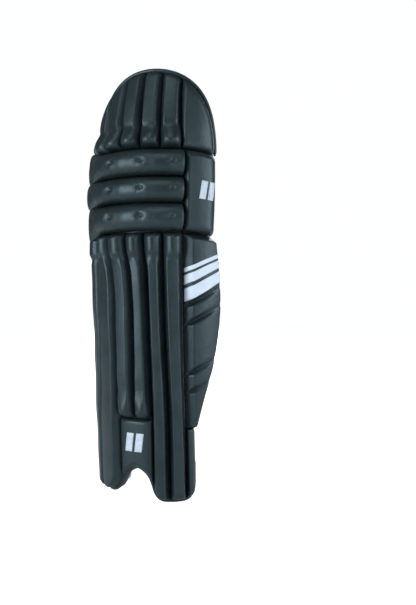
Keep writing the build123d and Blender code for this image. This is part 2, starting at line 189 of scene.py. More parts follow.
def ringMesh(name, rings, capped=True):
    # skins closed rings of points, with a UV map in millimetres round and along them
    count = len(rings[0])
    verts = [p for ring in rings for p in ring]
    faces, uvs = [], []
    runs = []
    for ring in rings:
        run = [0.0]
        for j in range(count):
            run.append(run[-1] + (ring[(j + 1) % count] - ring[j]).length * 1000)
        runs.append(run)
    rise = [0.0]
    for a, b in zip(rings, rings[1:]):
        rise.append(rise[-1] + sum((q - p).length for p, q in zip(a, b)) / count * 1000)
    for i in range(len(rings) - 1):
        for j in range(count):
            k = (j + 1) % count
            faces.append((i * count + j, i * count + k, (i + 1) * count + k, (i + 1) * count + j))
            uvs += [(runs[i][j], rise[i]), (runs[i][j + 1], rise[i])]
            uvs += [(runs[i + 1][j + 1], rise[i + 1]), (runs[i + 1][j], rise[i + 1])]
    if capped:
        for i, flip in ((0, True), (len(rings) - 1, False)):
            middle = len(verts)
            verts.append(sum(rings[i], Vector()) / count)
            for j in range(count):
                face = (i * count + j, i * count + (j + 1) % count, middle)
                corner = [(runs[i][j], rise[i]), (runs[i][j + 1], rise[i]), (runs[i][j], rise[i] + 2)]
                faces.append(face[::-1] if flip else face)
                uvs += corner[::-1] if flip else corner
    mesh = bpy.data.meshes.new(name)
    mesh.from_pydata(verts, [], faces)
    layer = mesh.uv_layers.new(name="panel")
    for loop, uv in zip(layer.data, uvs):
        loop.uv = uv
    return mesh


def addPiece(name, mesh, material, body, replaced=()):
    work = bmesh.new()
    work.from_mesh(mesh)
    bmesh.ops.dissolve_degenerate(work, edges=work.edges, dist=2e-6)
    bmesh.ops.recalc_face_normals(work, faces=work.faces)
    for face in work.faces:
        face.smooth = True
    work.to_mesh(mesh)
    work.free()
    piece = bpy.data.objects.new(name, mesh)
    bpy.context.scene.collection.objects.link(piece)
    piece.data.materials.append(material)
    if body:
        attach(piece, body)
    if replaced:
        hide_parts(*replaced)
    return piece


coverCloth = {
    "quality": 6,
    "mass": 0.05,
    "shear_stiffness": 0.5,
    "tension_stiffness": 1.0,
    "compression_stiffness": 0.5,
    "bending_stiffness": 0.05,
    "use_pressure": True,
}
coverPressure = 100.0


def inflated(mesh, give, pressure, limit):
    # blows a cover up over its padding as cloth held along its seams and ties, then keeps the result;
    # give is 0 where the cover is sewn down and 1 where it is free
    outward = bmesh.new()  # pressure acts along the normals, so they have to face out first
    outward.from_mesh(mesh)
    bmesh.ops.recalc_face_normals(outward, faces=outward.faces)
    outward.to_mesh(mesh)
    outward.free()
    scene = bpy.context.scene
    blown = bpy.data.objects.new(mesh.name + "Blown", mesh.copy())
    scene.collection.objects.link(blown)
    group = blown.vertex_groups.new(name="held")
    group.add([i for i, free in enumerate(give) if free < 0.02], 1.0, "REPLACE")
    cloth = blown.modifiers.new("cloth", "CLOTH")
    for key, value in coverCloth.items():
        setattr(cloth.settings, key, value)
    cloth.settings.uniform_pressure_force = pressure
    cloth.settings.vertex_group_mass = "held"
    cloth.settings.effector_weights.gravity = 0
    cloth.collision_settings.use_collision = False
    cloth.point_cache.frame_end = 20
    for frameNumber in range(1, 21):
        scene.frame_set(frameNumber)
    worked = blown.evaluated_get(bpy.context.evaluated_depsgraph_get()).to_mesh()
    moves = [worked.vertices[v.index].co - v.co for v in mesh.vertices]
    normals = [v.normal.copy() for v in mesh.vertices]
    out = []
    for v, move, free, normal in zip(mesh.vertices, moves, give, normals):
        kept = move * free * min(1.0, limit * 0.001 / max(move.length, 1e-9))
        v.co += kept
        if free > 0.5:
            out.append(kept.dot(normal) * 1000)
    print(f"{mesh.name}: cloth out {sum(out) / len(out):.2f} mm on average, from {min(out):.2f} to {max(out):.2f}")
    spare = blown.data
    bpy.data.objects.remove(blown)
    bpy.data.meshes.remove(spare)
    scene.frame_set(1)
    return mesh


def panelMesh(name, heights, leftAt, rightAt, frontAt, backAt, columns, edgeShare=0.6):
    # a closed padded panel: frontAt and backAt give the lift for a share across, a height and an angle
    rings = []
    for z in heights:
        left, right = leftAt(z), rightAt(z)
        shares = []
        for j in range(columns + 1):
            even = j / columns
            shares.append(even * (1 - edgeShare) + (0.5 - 0.5 * math.cos(math.pi * even)) * edgeShare)
        front = [padPoint(left + (right - left) * u, frontAt(u, z, left + (right - left) * u), z) for u in shares]
        back = [padPoint(left + (right - left) * u, backAt(u, z, left + (right - left) * u), z) for u in shares]
        rings.append(front + back[::-1])
    return ringMesh(name, rings)


def sewnPatch(name, corners, surface, thickness=0.7, size=2.5, sink=0.35):
    # a thin patch on a surface: corners are (angle, height) in order round it, surface gives the lift under it
    a, b, c, d = corners
    across = max(2, round(max(abs(b[0] - a[0]), abs(c[0] - d[0])) * 1.95 / size))
    along = max(2, round(max(abs(d[1] - a[1]), abs(c[1] - b[1])) / size))
    rings = []
    for i in range(along + 1):
        v = i / along
        ring = []
        for lifted in (True, False):
            for j in range(across + 1):
                u = (j if lifted else across - j) / across
                low = (a[0] + (b[0] - a[0]) * u, a[1] + (b[1] - a[1]) * u)
                high = (d[0] + (c[0] - d[0]) * u, d[1] + (c[1] - d[1]) * u)
                angle, z = low[0] + (high[0] - low[0]) * v, low[1] + (high[1] - low[1]) * v
                ring.append(padPoint(angle, surface(angle, z) + (thickness if lifted else -sink), z))
        rings.append(ring)
    return ringMesh(name, rings)


def tubeMesh(name, path, radius, flatten=1.0, outward=Vector((0, -1, 0)), sides=10):  # a rolled edge along a path
    rings = []
    for i, p in enumerate(path):
        ahead = (path[min(i + 1, len(path) - 1)] - path[max(i - 1, 0)]).normalized()
        out = (outward - ahead * outward.dot(ahead)).normalized()
        side = ahead.cross(out)
        end = min(i, len(path) - 1 - i)
        r = radius * 0.001 * (0.4 if end == 0 else 0.85 if end == 1 else 1.0)
        turns = [2 * math.pi * q / sides for q in range(sides)]
        rings.append([p + side * (math.cos(t) * r) + out * (math.sin(t) * r * flatten) for t in turns])
    return ringMesh(name, rings)


def stitchMesh(name, paths, pitch=4.4, length=3.0, width=1.0):  # thread stitches laid along each path
    verts, faces = [], []
    for path in paths:
        marks = [0.0]
        for a, b in zip(path, path[1:]):
            marks.append(marks[-1] + (b - a).length * 1000)
        count = max(1, int(marks[-1] / pitch))
        for i in range(count):
            at = (i + 0.5) * marks[-1] / count
            k = max(j for j in range(len(path) - 1) if marks[j] <= at)
            share = (at - marks[k]) / max(1e-6, marks[k + 1] - marks[k])
            middle = path[k].lerp(path[k + 1], share)
            along = (path[k + 1] - path[k]).normalized()
            across = along.cross(Vector((0.3, -0.9, 0.3))).normalized()
            out = across.cross(along)
            base = len(verts)
            for s, r in ((-0.5, 0.25), (-0.3, 0.5), (0.3, 0.5), (0.5, 0.25)):
                for q in range(6):
                    turn = math.radians(60 * q)
                    offset = across * (math.cos(turn) * width * r) + out * (math.sin(turn) * width * r)
                    verts.append(middle + (along * (s * length) + offset) * 0.001)
            for ring in range(3):
                for q in range(6):
                    n = (q + 1) % 6
                    low, high = base + ring * 6, base + ring * 6 + 6
                    faces.append((low + q, low + n, high + n, high + q))
            faces.append(tuple(base + q for q in range(5, -1, -1)))
            faces.append(tuple(base + 18 + q for q in range(6)))
    mesh = bpy.data.meshes.new(name)
    mesh.from_pydata(verts, [], faces)
    return mesh


# Materials


def linear(hexColor):
    parts = [int(hexColor[i : i + 2], 16) / 255 for i in (1, 3, 5)]
    return [p / 12.92 if p <= 0.04045 else ((p + 0.055) / 1.055) ** 2.4 for p in parts] + [1.0]


def addNode(tree, kind, inputs=None, **settings):
    node = tree.nodes.new("ShaderNode" + kind)
    for key, value in settings.items():
        setattr(node, key, value)
    for key, value in (inputs or {}).items():
        if isinstance(value, bpy.types.NodeSocket):
            tree.links.new(value, node.inputs[key])
        else:
            node.inputs[key].default_value = value
    return node


def startMaterial(name, roughness, specular=0.5, sheen=0.0, metallic=0.0):
    material = bpy.data.materials.new(name)
    material.use_nodes = True
    shader = material.node_tree.nodes["Principled BSDF"]
    values = {"Roughness": roughness, "Specular IOR Level": specular, "Sheen Weight": sheen, "Metallic": metallic}
    for key, value in values.items():
        shader.inputs[key].default_value = value
    return material, material.node_tree, shader


def coatedFabric(name, base, light, roughness, grain=1.8, creaseDepth=0.0016):
    # polyurethane-coated fabric with an embossed leather grain: soft broad highlights, faint mottling, small creases.
    # The real grain is about 0.8 mm; it is drawn coarser so that it shows.
    material, tree, shader = startMaterial(name, roughness, 0.55)
    shader.inputs["Specular Tint"].default_value = (0.74, 0.95, 1.0, 1.0)
    place = addNode(tree, "TexCoord").outputs["Object"]
    blotches = addNode(tree, "TexNoise", {"Vector": place, "Scale": 1000 / 38, "Detail": 3.0}).outputs["Fac"]
    mottle = addNode(tree, "MapRange", {0: blotches, 1: 0.3, 2: 0.7}).outputs[0]
    specks = addNode(tree, "TexNoise", {"Vector": place, "Scale": 1000 / 1.3, "Detail": 2.0}).outputs["Fac"]
    speckle = addNode(tree, "MapRange", {0: specks, 1: 0.5, 2: 0.75, 3: 0.0, 4: 0.3}).outputs[0]
    ground = addNode(tree, "Mix", {0: mottle, 6: linear(base), 7: linear(light)}, data_type="RGBA").outputs[2]
    worn = addNode(tree, "Mix", {0: speckle, 6: ground, 7: linear(light)}, data_type="RGBA").outputs[2]
    tree.links.new(worn, shader.inputs["Base Color"])
    uneven = addNode(tree, "MapRange", {0: specks, 1: 0.3, 2: 0.7, 3: roughness - 0.06, 4: roughness + 0.08}).outputs[0]
    tree.links.new(uneven, shader.inputs["Roughness"])
    wrinkles = {"Vector": place, "Scale": 1000 / 11, "Detail": 4.0, "Roughness": 0.6}
    soft = addNode(tree, "TexNoise", wrinkles).outputs["Fac"]
    cells = addNode(tree, "TexVoronoi", {"Vector": place, "Scale": 1000 / grain}).outputs["Distance"]
    creases = addNode(tree, "Bump", {"Height": soft, "Strength": 0.3, "Distance": creaseDepth}).outputs[0]
    pores = addNode(tree, "Bump", {"Height": cells, "Strength": 0.55, "Distance": 0.0003, "Normal": creases}).outputs[0]
    tree.links.new(pores, shader.inputs["Normal"])
    return material


def ribbedFabric(name, base, shade, period, slant, crossShare, depth, specular=0.3, roughness=0.8):
    # knitted or woven polyester seen as ribs and pores: matt, with shade in the hollows and light soiling.
    # The ribs follow the panel's own millimetres; 3 mm ribs are drawn for a 2 mm knit so that they show.
    material, tree, shader = startMaterial(name, roughness, specular, 0.2)
    panel = addNode(tree, "UVMap", uv_map="panel").outputs[0]
    place = addNode(tree, "TexCoord").outputs["Object"]
    pace = 2 * math.pi / period
    c, s = math.cos(math.radians(slant)) * pace, math.sin(math.radians(slant)) * pace
    ribRun = addNode(tree, "VectorMath", {0: panel, 1: (c, s, 0)}, operation="DOT_PRODUCT").outputs[1]
    poreRun = addNode(tree, "VectorMath", {0: panel, 1: (-s, c, 0)}, operation="DOT_PRODUCT").outputs[1]
    rib = addNode(tree, "Math", {0: ribRun}, operation="SINE").outputs[0]
    pore = addNode(tree, "Math", {0: poreRun}, operation="SINE").outputs[0]
    knit = addNode(tree, "Math", {0: pore, 1: crossShare, 2: rib}, operation="MULTIPLY_ADD").outputs[0]
    hollow = addNode(tree, "MapRange", {0: knit, 1: 0.3, 2: -1.0 - crossShare, 3: 0.0, 4: 1.0}).outputs[0]
    color = addNode(tree, "Mix", {0: hollow, 6: linear(base), 7: linear(shade)}, data_type="RGBA").outputs[2]
    soil = addNode(tree, "TexNoise", {"Vector": place, "Scale": 1000 / 60, "Detail": 3.0}).outputs["Fac"]
    soiled = addNode(tree, "MapRange", {0: soil, 1: 0.45, 2: 0.8, 3: 0.0, 4: 0.3}).outputs[0]
    final = addNode(tree, "Mix", {0: soiled, 6: color, 7: linear(shade)}, data_type="RGBA").outputs[2]
    tree.links.new(final, shader.inputs["Base Color"])
    relief = addNode(tree, "Bump", {"Height": knit, "Strength": 0.5, "Distance": depth}).outputs[0]
    tree.links.new(relief, shader.inputs["Normal"])
    return material


def smoothFinish(name, base, shade, roughness, dimple=16.0, dimpleDepth=0.0, sheen=0.0, metallic=0.0):
    # thread, tape, ink, foam, cane or brushed lining: a fine-grained matt surface with a slight drift of tone
    material, tree, shader = startMaterial(name, roughness, 0.4, sheen, metallic)
    place = addNode(tree, "TexCoord").outputs["Object"]
    drift = addNode(tree, "TexNoise", {"Vector": place, "Scale": 1000 / dimple, "Detail": 4.0}).outputs["Fac"]
    share = addNode(tree, "MapRange", {0: drift, 1: 0.32, 2: 0.72}).outputs[0]
    color = addNode(tree, "Mix", {0: share, 6: linear(base), 7: linear(shade)}, data_type="RGBA").outputs[2]
    tree.links.new(color, shader.inputs["Base Color"])
    fibres = addNode(tree, "TexNoise", {"Vector": place, "Scale": 1000 / 1.6, "Detail": 2.0}).outputs["Fac"]
    dimples = addNode(tree, "Bump", {"Height": drift, "Strength": 0.35, "Distance": dimpleDepth}).outputs[0]
    nap = addNode(tree, "Bump", {"Height": fibres, "Strength": 0.3, "Distance": 0.0003, "Normal": dimples}).outputs[0]
    tree.links.new(nap, shader.inputs["Normal"])
    return material


def marbledWebbing(name, dark, pale):
    # polyester webbing with a marbled transfer print: wavy dark and pale bands over ribs that run along the strap
    material, tree, shader = startMaterial(name, 0.6, 0.35, 0.15)
    panel = addNode(tree, "UVMap", uv_map="panel").outputs[0]
    stretch = addNode(tree, "Mapping", {"Vector": panel, "Scale": (1.0, 0.55, 1.0)}).outputs[0]
    noise = {"Vector": stretch, "Scale": 0.045, "Detail": 1.5, "Distortion": 1.4}
    swirl = addNode(tree, "TexNoise", noise).outputs["Fac"]
    turns = addNode(tree, "Math", {0: swirl, 1: 46.0}, operation="MULTIPLY").outputs[0]
    wave = addNode(tree, "Math", {0: turns}, operation="SINE").outputs[0]
    printed = addNode(tree, "MapRange", {0: wave, 1: 0.1, 2: 0.32}).outputs[0]
    color = addNode(tree, "Mix", {0: printed, 6: linear(dark), 7: linear(pale)}, data_type="RGBA").outputs[2]
    tree.links.new(color, shader.inputs["Base Color"])
    run = addNode(tree, "VectorMath", {0: panel, 1: (3.3, 0, 0)}, operation="DOT_PRODUCT").outputs[1]
    ribs = addNode(tree, "Math", {0: run}, operation="SINE").outputs[0]
    relief = addNode(tree, "Bump", {"Height": ribs, "Strength": 0.4, "Distance": 0.0003}).outputs[0]
    tree.links.new(relief, shader.inputs["Normal"])
    return material


def fadedInk(name, base, pale, low, high):  # screen-printed film that thins from full colour to white across the mark
    material, tree, shader = startMaterial(name, 0.5, 0.4)
    place = addNode(tree, "TexCoord").outputs["Object"]
    across = addNode(tree, "SeparateXYZ", {0: place}).outputs["X"]
    dots = addNode(tree, "TexNoise", {"Vector": place, "Scale": 1000 / 1.5, "Detail": 1.0}).outputs["Fac"]
    fade = addNode(tree, "MapRange", {0: across, 1: low, 2: high, 3: -0.5, 4: 0.5}).outputs[0]
    grain = addNode(tree, "Math", {0: fade, 1: dots}, operation="ADD").outputs[0]
    share = addNode(tree, "MapRange", {0: grain, 1: 0.3, 2: 0.7}).outputs[0]
    color = addNode(tree, "Mix", {0: share, 6: linear(base), 7: linear(pale)}, data_type="RGBA").outputs[2]
    tree.links.new(color, shader.inputs["Base Color"])
    return material


puCover = coatedFabric("embossedPuCover", "#182122", "#222D2F", 0.38)
puStripe = coatedFabric("embossedPuWhite", "#D0DAE8", "#E4EBF4", 0.4, 1.8, 0.0008)
spacerMesh = ribbedFabric("spacerMeshWhite", "#EAEEF4", "#B9C3CF", 3.0, 42.0, 0.35, 0.0006)
brushedLining = smoothFinish("brushedLiningWhite", "#E6EBF1", "#D3DBE5", 0.72, 26.0, 0.0022, 0.2)
openNet = ribbedFabric("openNetGrey", "#D9E2EC", "#6F8599", 3.4, 37.0, 1.0, 0.0009)
webbing = marbledWebbing("marbledWebbing", "#222C2E", "#DCE4E7")
whiteTape = ribbedFabric("wovenTapeWhite", "#E8ECF1", "#C2CAD3", 1.9, 90.0, 0.3, 0.0003, 0.35, 0.65)
threadDark = smoothFinish("polyThreadDark", "#121718", "#1E2627", 0.6)
threadPale = smoothFinish("polyThreadPale", "#8698A0", "#A3B3B9", 0.5)
threadWhite = smoothFinish("polyThreadWhite", "#C6CED6", "#DEE4E9", 0.5)
reflectiveTape = smoothFinish("reflectiveTape", "#BAC5D1", "#98A5B3", 0.35, 12.0, 0.0004, 0.0, 0.3)
greenInk = smoothFinish("transferInkGreen", "#3C7048", "#2E5A3A", 0.55, 5.0)
whiteInk = smoothFinish("transferInkWhite", "#D6DFE9", "#BCC8D4", 0.5, 5.0)
tealInk = fadedInk("transferInkTeal", "#2C7780", "#DDE8EA", -0.020, 0.035)
foamBoard = smoothFinish("evaFoamBoard", "#242C2E", "#30393B", 0.85, 9.0, 0.0006)
splitCane = smoothFinish("splitCane", "#B48F5A", "#8F6D3F", 0.6, 4.0)
hookTape = smoothFinish("hookTape", "#DCE0E4", "#B6BEC6", 0.75, 2.0, 0.0005)
stiffSheet = smoothFinish("polypropyleneSheet", "#17191A", "#222526", 0.4)

slotMaterials = {
    "dark_cover": puCover, "cane_slat": splitCane, "foam_core": foamBoard, "foam_board": foamBoard,
    "plastic_sheet": stiffSheet, "white_mesh_fabric": brushedLining, "white_lining": brushedLining,
    "open_mesh": brushedLining, "white_stripe": puStripe, "printed_webbing": brushedLining,
    "hook_tape": hookTape, "white_webbing": brushedLining,
}  # fmt: skip
slotOfNode = {entry["node"]: entry.get("material_slot") for entry in frame["record"]["subparts"]}
for name, node in frame["nodes"].items():
    finish = slotMaterials.get(slotOfNode.get(name), foamBoard)
    if not node.material_slots:
        node.data.materials.append(finish)
    for holder in node.material_slots:
        holder.material = finish
print("materials made")


# Shin: six sewn channels over cane. Below the crease they are flat-faced slabs with bevels, above it they puff out.
shinChannels = {
    "height": 19.5,
    "mouthHeight": 24.0,
    "seamLift": 1.6,
    "bevel": 7.5,
    "mouthPower": 2.0,
    "bulb": 4.5,
    "crease": 389.0,
    "creaseDepth": 2.6,
    "instepTop": 135.0,
    "top": 427.2,
}


def slabProfile(fromLeft, fromRight, bevel):  # a flat face with a short bevel on the left and a wider one on the right
    rise = min(1.0, fromLeft / (bevel * 0.75), fromRight / (bevel * 1.25))
    return rise * (1.19 - 0.19 * rise * rise)


def shinLift(k, u, z, low):
    s = shinChannels
    mouth = ease((z - 374) / 24)
    puffed = mouth
    height = s["height"] + (s["mouthHeight"] - s["height"]) * mouth
    if k in (2, 3):
        puffed = max(mouth, ease((172 - z) / 22))
        height += s["bulb"] * bell(z - 151, 15) - 1.5 * bell(z - 182, 14)
    crease = s["creaseDepth"] * bell(z - s["crease"] - 2.5 * math.sin(k * 2.1), 6.5)
    height -= crease + 0.5 * math.sin(z / 31 + k * 1.7) + 0.35 * math.sin(z / 13 + k)
    fade = dome(1 - clamp((z - low) / 11), 2.0) * dome(1 - clamp((s["top"] - z) / 9), 2.2)
    wide = (channelRight(k, z) - channelLeft(k, z)) * 2.0
    slab, bulge = slabProfile(u * wide, (1 - u) * wide, s["bevel"]), dome(2 * u - 1, s["mouthPower"])
    across = slab * (1 - puffed) + bulge * puffed
    return s["seamLift"] + (height - s["seamLift"]) * across * fade


def channelLeft(k, z):
    left = shinSeam(k, z) + 0.15
    if z < 56 and k < 2:
        return max(left, footEdge("innerLobeLeft", z))
    return max(left, archAngle(z, 1) + 0.5) if z < 56 and k > 3 else left


def channelRight(k, z):
    right = shinSeam(k + 1, z) - 0.15
    if z < 56 and k < 2:
        return min(right, archAngle(z, -1) - 0.5)
    return min(right, footEdge("outerLobeRight", z)) if z < 56 and k > 3 else right


for k in range(6):
    low = {2: shinChannels["instepTop"], 3: shinChannels["instepTop"], 4: 4.2, 5: 4.0}.get(k, 7.9)
    levels = steps(low, low + 14, 1.6) + steps(low + 14, 372, 5.0)[1:] + steps(372, shinChannels["top"], 1.8)[1:]
    mesh = panelMesh(
        f"shinCover{k + 1}", levels,
        lambda z, k=k: channelLeft(k, z), lambda z, k=k: channelRight(k, z),
        lambda u, z, angle, k=k, low=low: shinLift(k, u, z, low), lambda u, z, angle: 0.4, 26, 0.45,
    )  # fmt: skip
    addPiece(
        f"shinCover{k + 1}", mesh, puCover, "pad",
        (f"shin_channel_{k + 1}", f"shin_slat_{k + 1}"),
    )  # fmt: skip
print("shin channels made")


# Padded edge of the shin below the wing, with its own rounded corner
def edgeLift(u, z):
    return 1.5 + 14.0 * dome(u, 2.6) * dome(1 - clamp((z - 6) / 12), 2) * ease(u / 0.14 + 0.25)


edgeMesh = panelMesh(
    "shinEdgeCover", steps(6.6, 117.6, 3.0),
    lambda z: shinSeam(6, z) + 0.15, lambda z: min(shinSeam(6, z) + 8.2, footEdge("outerLobeRight", z)),
    lambda u, z, angle: edgeLift(u, z), lambda u, z, angle: -7.6, 12, 0.7,
)  # fmt: skip
addPiece("shinEdgeCover", edgeMesh, puCover, "pad", ("shin_edge",))

# Instep guard: a flat padded panel over the boot with the arch cut into it
instep = {"height": 12.0, "bottom": 21.0, "top": 134.0}


def archHeight(angle):  # height of the arch's edge over an angle
    side = 1 if angle > 4.5 else -1
    low, high = 8.0, 56.0
    for _ in range(24):
        z = (low + high) / 2
        low, high = (z, high) if (archAngle(z, side) - angle) * side > 0 else (low, z)
    return low


def archedPanel(name, leftAt, rightAt, top, frontAt, backAt, columns=26, rows=34):
    # a panel whose lower edge is the arch; each ring runs up the front of one column and down its back
    rings = []
    for j in range(columns + 1):
        u = 0.5 - 0.5 * math.cos(math.pi * j / columns)
        ring = []
        low = max(instep["bottom"], archHeight(leftAt(40) + (rightAt(40) - leftAt(40)) * u) + 0.8)
        levels = [low + (top - low) * (0.5 - 0.5 * math.cos(math.pi * i / rows)) for i in range(rows + 1)]
        for z in levels:
            ring.append(padPoint(leftAt(z) + (rightAt(z) - leftAt(z)) * u, frontAt(u, z, low), z))
        for z in levels[::-1]:
            ring.append(padPoint(leftAt(z) + (rightAt(z) - leftAt(z)) * u, backAt(u, z, low), z))
        rings.append(ring)
    return ringMesh(name, rings)


def instepLift(u, z, low):
    body = dome(2 * u - 1, 5.0) * dome(1 - clamp((z - low) / 9), 2.2) * dome(1 - clamp((instep["top"] - z) / 7), 2.2)
    return 1.2 + (instep["height"] - 1.2) * body


instepMesh = archedPanel(
    "instepGuardCover", lambda z: shinSeam(2, z) + 0.2, lambda z: shinSeam(4, z) - 0.2, instep["top"],
    instepLift, lambda u, z, low: 0.4,
)  # fmt: skip
addPiece("instepGuardCover", instepMesh, puCover, "pad", ("instep_guard",))


# Knee rolls: three sausages quilted with tufts, sewn down deep between each other
kneeRolls = {
    "start": -53.0,
    "end": 45.5,
    "levels": [428.0, 471.5, 511.5, 553.0],
    "height": 30.5,
    "grooveLift": 6.5,
    "power": 2.15,
    "tufts": [-35.5, -9.5, 14.5, 37.0],
    "tuftDepth": 6.0,
    "tuftSize": 2.8,
    "puckers": 0.3,
}
rollNames = ["lower", "middle", "upper"]
rollPitch = (padShape["kneeTop"] - padShape["shinTop"]) / 3


def rollLift(i, s, angle):  # s runs from -1 at the lower groove to 1 at the upper one
    r = kneeRolls
    ends = dome(1 - clamp((angle - r["start"]) / 6.5), 2.2) * dome(1 - clamp((r["end"] - angle) / 2.4), 2.6)
    bound = ease((-20 - angle) / 20)  # towards the inner edge the grooves run out into one bound band
    groove = r["grooveLift"] + (21.0 - r["grooveLift"]) * bound
    crest = r["height"] - (6.5 - 2.5 * (i == 1)) * bound
    lift = groove + (crest - groove) * dome(s, r["power"])
    lift = 3.0 + (lift - 3.0) * (0.3 + 0.7 * ends)
    for t, tuft in enumerate(r["tufts"]):
        away = (angle - tuft) * 2.15
        up = (s - 0.12) * rollPitch / 2
        distance = math.hypot(away * 0.8, up * 1.25)
        lift -= r["tuftDepth"] * math.exp(-((distance / r["tuftSize"]) ** 1.2))
        turn = math.atan2(up * 1.6, away)
        fold = math.cos(turn * 7 + t * 1.9 + i) + 0.6 * math.cos(turn * 4 + t + i * 2.3)
        lift += r["puckers"] * fold * ease(distance / 5) * math.exp(-distance / 11) * dome(s, 2)
    wander = math.sin(angle * 0.31 + i * 2.0) + 0.6 * math.sin(angle * 0.73 + i)
    return lift + 0.3 * wander * dome(s, 2)


for i, rollName in enumerate(rollNames):
    low, high = kneeRolls["levels"][i] + 0.2, kneeRolls["levels"][i + 1] - 0.2
    rings, give = [], []
    angles = steps(kneeRolls["start"], kneeRolls["end"], 0.9)
    for angle in angles:
        ring = []
        for q in range(31):
            s = -math.cos(math.pi * q / 30)
            z = (low + high) / 2 + (high - low) / 2 * s
            inner = ease((-22 - angle) / 18)
            z += inner * (5.0 * clamp(s) if i == 2 else -7.0 * clamp(-s) if i == 0 else 0.0)
            ring.append(padPoint(angle, max(3.0, rollLift(i, s, angle)), z))
            tied = min(math.hypot((angle - tuft) * 2.15, (s - 0.12) * rollPitch / 2) for tuft in kneeRolls["tufts"])
            free = ease((1 - abs(s)) / 0.45) * ease((tied - 2.5) / 8) * ease((angle - angles[0] - 3) / 8)
            give.append(free * ease((angles[-1] - angle - 1) / 6))
        for q in range(1, 6):
            z = high - (high - low) * q / 6
            ring.append(padPoint(angle, 2.0, z))
            give.append(0.0)
        rings.append(ring)
    name = f"kneeRoll{rollName.capitalize()}"
    addPiece(
        name, inflated(ringMesh(name, rings), give, coverPressure, 4.0), puCover, "pad",
        (f"knee_roll_{rollName}", f"knee_roll_core_{rollName}"),
    )  # fmt: skip
print("knee rolls made")


# Padded panel beside the knee rolls
kneeSide = {"left": 46.0, "right": 76.0, "low": 427.6, "high": 553.2, "height": 20.0}


def kneeSideLift(angle, z):
    s = kneeSide
    left, right = (angle - s["left"]) * 2.1, (s["right"] - angle) * 2.1
    below, above = z - s["low"], s["high"] - z
    rise = dome(1 - clamp(left / 7), 2.2) * dome(1 - clamp(right / 22), 2)
    rise *= dome(1 - clamp(below / 10), 2.2) * dome(1 - clamp(above / 12), 2.2)
    swell = 2.5 * math.sin(math.pi * clamp(below / (s["high"] - s["low"])))
    return 2.0 + (s["height"] + swell - 2.0) * rise


mesh = panelMesh(
    "kneeSideCover", steps(kneeSide["low"], kneeSide["high"], 2.0),
    lambda z: kneeSide["left"], lambda z: kneeSide["right"],
    lambda u, z, angle: kneeSideLift(angle, z), lambda u, z, angle: 1.4, 30, 0.5,
)  # fmt: skip
addPiece("kneeSideCover", mesh, puCover, "pad", ("knee_side_panel",))


# Top hat: five wide channels and two narrow strips at the inner edge, all running out to the rolled rim
topHat = {"height": 17.5, "bulge": 8.0, "bulgeAt": 567.0, "low": 553.4, "rimGap": 5.0, "bevel": 6.5}


def topLift(k, u, z, angle):
    rise = (z - padShape["kneeTop"]) / (padShape["height"] - padShape["kneeTop"])
    fullness = 0.35 if k < 0 else 0.65 if k == 0 else 1
    height = topHat["height"] - 6.0 * rise + topHat["bulge"] * fullness * bell(z - topHat["bulgeAt"], 15)
    height -= 1.4 * bell(z - 589 - 3 * math.sin(k * 1.7), 6) * (1 if k > 0 else 0.5)
    flat = ease((z - 581) / 16)
    wide = 15.0 * 2.0 if k >= 0 else 12.0
    side = dome(2 * u - 1, 2.2) * (1 - flat) + slabProfile(u * wide, (1 - u) * wide, topHat["bevel"]) * flat
    bottom = dome(1 - clamp((z - topHat["low"]) / 14), 2.0)
    rim = dome(1 - clamp((rimDistance(angle, z) - topHat["rimGap"]) / 7), 1.7)
    return 1.4 + (height - 1.4) * side * bottom * rim


def topSideLift(angle, z):
    edges = dome(1 - clamp((angle - topSeam(5, z)) * 2.0 / 6), 2.2) * dome(1 - clamp((z - topHat["low"]) / 10), 2.0)
    return 1.4 + 14.0 * edges * dome(1 - clamp((rimDistance(angle, z) - 4.0) / 14), 1.9)


for k in range(-2, 6):
    def left(z, k=k):
        return max(topSeam(k, z) + 0.15, crownRim(z + 1.5)[0] + topHat["rimGap"] / 2)

    def right(z, k=k):
        limit = crownRim(z + 1.5)[1] - topHat["rimGap"] / 2
        return limit if k == 5 else min(topSeam(k + 1, z) - 0.15, limit)

    top = 676.0
    while right(top) - left(top) < 1.2:
        top -= 0.5
    levels = steps(topHat["low"], 600, 2.2) + steps(600, top, 3.0)[1:]
    levels = levels[:-1] + [top - 2.0, top - 0.8, top] if top - levels[-2] > 2.2 else levels
    if k == 5:
        name, replaced, columns = "topSideCover", ("top_side_panel",), 26
        front = lambda u, z, angle: topSideLift(angle, z)
    else:
        replaced = (f"top_channel_{k + 1}", f"top_slat_{k + 1}") if k >= 0 else ()
        name, columns = (f"topCover{k + 1}" if k >= 0 else f"topStrip{-k}"), 24
        front = lambda u, z, angle, k=k: topLift(k, u, z, angle)
    mesh = panelMesh(name, levels, left, right, front, lambda u, z, angle: 0.4, columns, 0.45)
    addPiece(name, mesh, puCover, "pad", replaced)
print("top hat made")


# Wing: a flat panel sewn into slanting facets
wing = {
    "height": 19.0, "groove": 6.0, "top": 426.6, "bottom": 117.0, "lines": [173.6, 203.0, 281.5, 311.0], "slant": 0.92,
}  # fmt: skip


